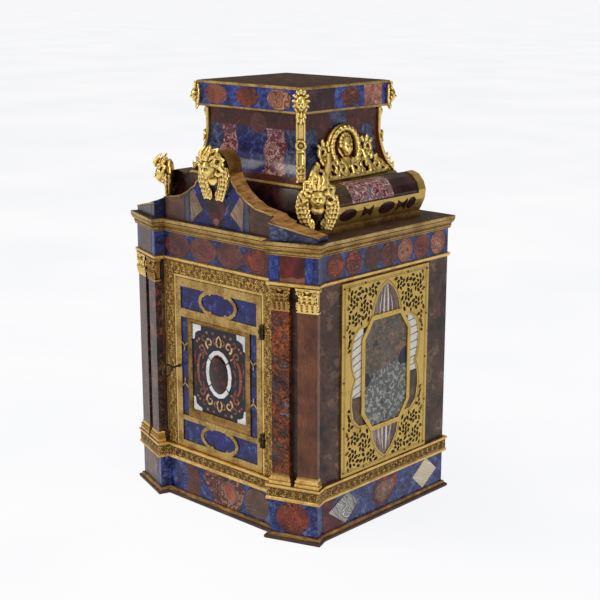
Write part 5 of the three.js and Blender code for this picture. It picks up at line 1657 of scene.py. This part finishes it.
for side_name, side in (("right", 1), ("left", -1)):
    arc = [(side * x, y) for x, y in sorted([(105.5, 440.2), (92, 442.6), *PEDIMENT_SLOPE[1:], (50, 459),
                (38.6, 469), (30, 479)])]
    swept(f"pediment_fillet_{side_name}", [PEDIMENT_FACE @ Vector((x, y, 0.6)) for x, y in arc], 1.3,
        pale_gilt)
    pier_place = RIGHT_PIER if side > 0 else LEFT_PIER
    run = [(side * -34.5, 433.6), (side * 32, 418.6)]
    swept(f"pier_fillet_{side_name}", [pier_place @ Vector((x, y, -0.4)) for x, y in run], 1.2, pale_gilt)

# Winged heads
# Three cast and chased bronze heads of children with curled hair and folded wings are pinned on: one
# on the crest and one at each front corner. The faces are calm and plain.
HEAD_LIMITS = ((-29, -38, -8), (29, 38, 27))


def child_face(centre, radii, segments=40, rings=28):
    """A round child's head with brow, eyes, nose, cheeks, lips and chin on plain proportions."""
    made = bmesh.new()
    bmesh.ops.create_uvsphere(made, u_segments=segments, v_segments=rings, radius=1)
    made.transform(Matrix.Rotation(math.radians(-90), 4, "X"))

    def swell(x, y, cx, cy, sx, sy):
        return math.exp(-(((x - cx) / sx) ** 2) - ((y - cy) / sy) ** 2)

    for vertex in made.verts:
        x, y, z = vertex.co
        out = 0.0
        if z > 0:
            out += 0.20 * swell(x, y, 0, -0.2, 0.1, 0.16) + 0.12 * swell(x, y, 0, -0.3, 0.16, 0.08)
            for side in (-1, 1):
                out -= 0.12 * swell(x, y, side * 0.34, 0.02, 0.2, 0.12)
                out += 0.06 * swell(x, y, side * 0.34, 0.01, 0.1, 0.07)
                out += 0.05 * swell(x, y, side * 0.34, 0.2, 0.24, 0.07)
                out += 0.09 * swell(x, y, side * 0.46, -0.34, 0.26, 0.24)
            out += 0.07 * swell(x, y, 0, -0.52, 0.18, 0.05) + 0.08 * swell(x, y, 0, -0.64, 0.15, 0.05)
            out -= 0.06 * swell(x, y, 0, -0.58, 0.2, 0.025)
            out += 0.1 * swell(x, y, 0, -0.86, 0.24, 0.14)
        narrow = 1 - 0.14 * max(0.0, -y)
        vertex.co = Vector((x * radii[0] * narrow, y * radii[1], z * radii[2] * (1 + out) + out * radii[2]
                * 0.5))
    made.transform(Matrix.Translation(centre))
    return made


def feather(x, y, length, width, turn, z, thick=1.4):
    """One feather, pointing down at turn 0, with a ridge along its quill."""
    angle = math.radians(turn)
    down = Vector((math.sin(angle), -math.cos(angle), 0))
    path = [Vector((x, y, z)) + down * length * share + Vector((0, 0, lift))
        for share, lift in ((0, 0), (0.3, 0.5), (0.65, 0.7), (0.9, 0.4), (1.0, 0.0))]
    return tube(path, [width * 0.35, width * 0.5, width * 0.52, width * 0.34, width * 0.1], 8,
        thick / width * 1.6)


def flame_lock(angle, start, end, z, thick, sway):
    """A wavy lock of hair from the brow outwards, in the direction of an angle in degrees."""
    path = []
    for share in (0, 0.25, 0.5, 0.75, 1):
        turned = math.radians(angle + sway * math.sin(share * 5.0))
        reach = start + (end - start) * share
        path.append((reach * math.cos(turned), 9 + reach * 1.1 * math.sin(turned),
                z + 3.4 * math.sin(share * 3.0) - 5 * share))
    return tube(path, [thick * 0.8, thick, thick * 0.95, thick * 0.7, thick * 0.25], 8)


def winged_head():
    parts = [child_face((0, 7, 10), (11.5, 14.0, 12.0)), ball((0, 10, 1), (18, 19, 7)), ball((0, -9, 4),
            (9, 9, 6))]
    for i in range(13):
        parts.append(flame_lock(-25 + 230 * i / 12, 12, 25, 9, 3.5, 9 if i % 2 else -9))
    for i in range(9):
        parts.append(flame_lock(10 + 160 * i / 8, 9, 19, 15, 3.2, -8 if i % 2 else 8))
    for x, sway in ((-4, -6), (0, 4), (4, 8)):
        path = [(x, 18, 20), (x + sway * 0.3, 24, 22), (x + sway * 0.5, 30, 18), (x + sway * 0.2, 36, 12)]
        parts.append(tube(path, [2.6, 3.0, 2.4, 1.0], 8))
    for side in (-1, 1):
        spine = [(side * 18, 7), (side * 20, -3), (side * 18.5, -14), (side * 14.5, -25),
            (side * 11.5, -32)]
        parts.append(tube([(x, y, 1) for x, y in spine], [6.5, 8.6, 8.8, 7.6, 4.0], 10, 0.55))
        for row in range(8):
            share = row / 7
            x = float(np.interp(share, np.linspace(0, 1, 5), [x for x, _ in spine]))
            y = float(np.interp(share, np.linspace(0, 1, 5), [y for _, y in spine]))
            for column in (-1.5, -0.5, 0.5, 1.5):
                reach = 4.6 * (1 - 0.3 * abs(share - 0.4))
                centre = (x + column * reach, y - abs(column) * 1.2, 5.6 - 1.1 * abs(column) + 1.4
                    * (1 - share))
                parts.append(ball(centre, (2.7, 4.6, 1.7), -column * 9 + side * 6, -14, 8, 6))
        for column in (-1.5, -0.5, 0.5, 1.5):
            parts.append(feather(side * 12.5 + column * 4.0, -23, 14 - abs(column) * 2.4, 4.6,
                    side * -2 + column * 7, 3.6))
    return parts


CHERUB_WALLS = {
    "cherub_middle": wall(0, FRONT_Y + 0.3, 0, 486), "cherub_right": wall(143, -88, 45, 457.5),
    "cherub_left": wall(-143, -88, -45, 457.5),
}
head_gilt = gilding("head_gilt", tint(246, 218, 136), tint(176, 132, 60), tint(44, 27, 12), 3.5, 0.2, 0.44,
    True)
cast("winged_head", winged_head(), 0.8, CHERUB_WALLS, head_gilt, limits=HEAD_LIMITS)

# Corner mounts
# A narrow gilt strip climbs each corner of the neck from a leaf to a ring and ends under a small leafy
# mask on the corner of the block. All four are casts of one model.
NECK_FOOT = 473.0


def corner_out(z):
    """How far the neck's corner lies behind the block's corner, along the diagonal."""
    return (neck_half(z) - 99.5) * math.sqrt(2)


def corner_mount():
    heights = np.linspace(476, 563, 22)
    parts = [
        tube([(0, z, corner_out(z) - 0.6) for z in heights], [6.2] * len(heights), 10, 0.5),
        tube([(-5.2, z, corner_out(z) + 1.2) for z in heights], [1.1] * len(heights), 6),
        tube([(5.2, z, corner_out(z) + 1.2) for z in heights], [1.1] * len(heights), 6),
    ]
    ring = [(6 * math.cos(a), 523 + 6 * math.sin(a), corner_out(523) + 3.6) for a in np.linspace(0,
            2 * math.pi, 21)]
    parts.append(tube(ring, [1.7] * len(ring), 8))
    parts.append(ball((0, 515, corner_out(515) + 2.4), (5.6, 2.4, 2.6)))
    for z, size in ((480, 6.2), (487, 5.6), (494, 4.6)):
        for side in (-1, 1):
            parts.append(ball((side * 3.2, z, corner_out(z) + 2.2), (2.1, size * 0.75, 1.8), -side * 34, 10,
                    8, 6))
        parts.append(ball((0, z + 1.5, corner_out(z) + 3.4), (1.7, size * 0.8, 1.8), 0, 10, 8, 6))
    parts += [child_face((0, 579, 2.0), (7.6, 10.5, 7.0), 28, 20), ball((0, 579, -1.5), (9.6, 17, 4.5))]
    for i in range(9):
        angle = math.pi * (i / 8 * 1.3 - 0.15)
        parts.append(ball((8.4 * math.cos(angle), 582 + 12.5 * math.sin(angle), 2.5), (2.3, 4.3, 2.2),
                math.degrees(angle) - 90, 8, 8, 6))
    for side in (-1, 0, 1):
        parts.append(ball((side * 4.6, 564.5 - abs(side), 1.0), (2.2, 5.2, 2.4), side * 18, 0, 8, 6))
        parts.append(ball((side * 3.4, 555 + abs(side) * 2, corner_out(555) + 2.6), (2.0, 5.4, 2.0),
                side * 14, 0, 8, 6))
    return parts


CORNERS = {"front_right": (1, -1), "front_left": (-1, -1), "back_right": (1, 1), "back_left": (-1, 1)}
corner_walls = {}
for corner_name, (sx, sy) in CORNERS.items():
    turn = math.degrees(math.atan2(sx, -sy))
    corner_walls[f"corner_mount_{corner_name}"] = wall(sx * 99.5, 17.3 + sy * (99.5 - DEPTH_LESS), turn)
cast("corner_mount", corner_mount(), 0.75, corner_walls, head_gilt)

# Side cartouches
# An open crest of cast scrolls and leaves round a small head is pinned to each flank of the neck, bent
# to its hollow side.


def cartouche():
    parts = [child_face((0, 43, 6.5), (10.5, 13.5, 8.5), 32, 24), ball((0, 42, 3), (14, 16, 4)),
        ball((0, 21, 3.5), (10, 9, 5))]
    for i in range(9):
        angle = math.pi * (i / 8 * 1.1 - 0.05)
        lock = (10.5 * math.cos(angle), 46 + 12.0 * math.sin(angle), 6.5)
        parts.append(ball(lock, (3.0, 4.0, 3.0), math.degrees(angle) - 60, 0, 8, 6))
    for inner, outer, z, thick in ((27, 27, 4.6, 4.6), (31.5, 30.0, 2.6, 3.2)):
        arch = [(inner * math.cos(a), 40 + outer * math.sin(a), z) for a in np.linspace(-0.28 * math.pi,
                1.28 * math.pi, 36)]
        parts.append(tube(arch, [thick] * len(arch), 8))
    for i in range(17):
        angle = math.pi * (-0.2 + 1.4 * i / 16)
        centre = (27.5 * math.cos(angle), 40 + 27.5 * math.sin(angle), 7.4)
        parts.append(ball(centre, (2.5, 5.0, 2.4), math.degrees(angle) - 58, 0, 8, 6))
    for x, tilt in ((-8, 20), (0, 0), (8, -20)):
        parts.append(ball((x, 67 - abs(x) * 0.2, 5), (3.2, 5.0, 2.8), tilt, 0, 8, 6))
    parts.append(tube([(-83, 3.2, 3), (-40, 3.4, 3.6), (0, 3.6, 4), (40, 3.4, 3.6), (83, 3.2, 3)],
            [2.6, 3.4, 3.6, 3.4, 2.6], 8))
    for side in (-1, 1):
        scrolls = (
            ((side * 14, 13.5), 90, 1.1, 10.0, 2.6, 5.0, side, 4.2),
            ((side * 45, 38), -100 if side > 0 else 280, 1.1, 10.0, 2.4, 4.0, side, 3.8),
            ((side * 57, 12), 100, 1.1, 9.5, 2.6, 4.0, -side, 3.8),
            ((side * 33, 17), 250 if side > 0 else -70, 0.9, 9.5, 3.0, 4.4, -side, 3.6),
        )
        for centre, start, turns, outer, inner, z, hand, thick in scrolls:
            path = spiral(centre, start, turns, outer, inner, z, 1.8, hand)
            parts.append(tube(path, np.linspace(thick, thick * 0.6, len(path)), 8))
        sweep = [(side * 35, 36, 4), (side * 38, 24, 4.6), (side * 44, 13, 4.4), (side * 52, 5, 4)]
        parts.append(tube(sweep, [4.2, 5.4, 5.0, 3.6], 8))
        tail = [(side * 62, 21, 3.4), (side * 70, 14, 3.6), (side * 77, 7, 3), (side * 84, 4, 2.6)]
        parts.append(tube(tail, [3.4, 4.4, 3.8, 1.6], 8))
        leaves = ((45, 50, 3.6, 6.5, -16), (36, 49, 3.2, 6.0, 24), (53, 46, 2.8, 5.0, -44),
            (24, 27, 4.0, 7.0, 30), (51, 26, 3.4, 7.0, -26),
            (60, 24, 2.8, 5.0, -50), (68, 12, 3.0, 5.5, -50), (76, 7, 2.8, 5.0, -68), (6, 9, 3.4, 5.5,
                0), (24, 8, 3.2, 5.5, 20),
            (42, 9, 3.4, 5.5, -20))
        for x, y, wide, tall, turn in leaves:
            parts.append(ball((side * x, y, 6.0), (wide, tall, 2.6), side * turn, 6, 8, 6))
    return parts


def bent_to_neck(points):
    bent = points.copy()
    foot = neck_half(NECK_FOOT)
    heights = NECK_FOOT + np.maximum(0, points[:, 1])
    bent[:, 2] += np.interp(heights, [row[1] for row in NECK_PROFILE],
        [row[0] for row in NECK_PROFILE]) - foot
    return bent


NECK_FLANK, NECK_MIDDLE_Y = 106.4, 17.3
cartouche_walls = {f"cartouche_{name}": wall(side * NECK_FLANK, NECK_MIDDLE_Y, side * 90, NECK_FOOT)
    for name, side in (("right", 1), ("left", -1))}
cast("cartouche", cartouche(), 0.85, cartouche_walls, head_gilt, bend=bent_to_neck)
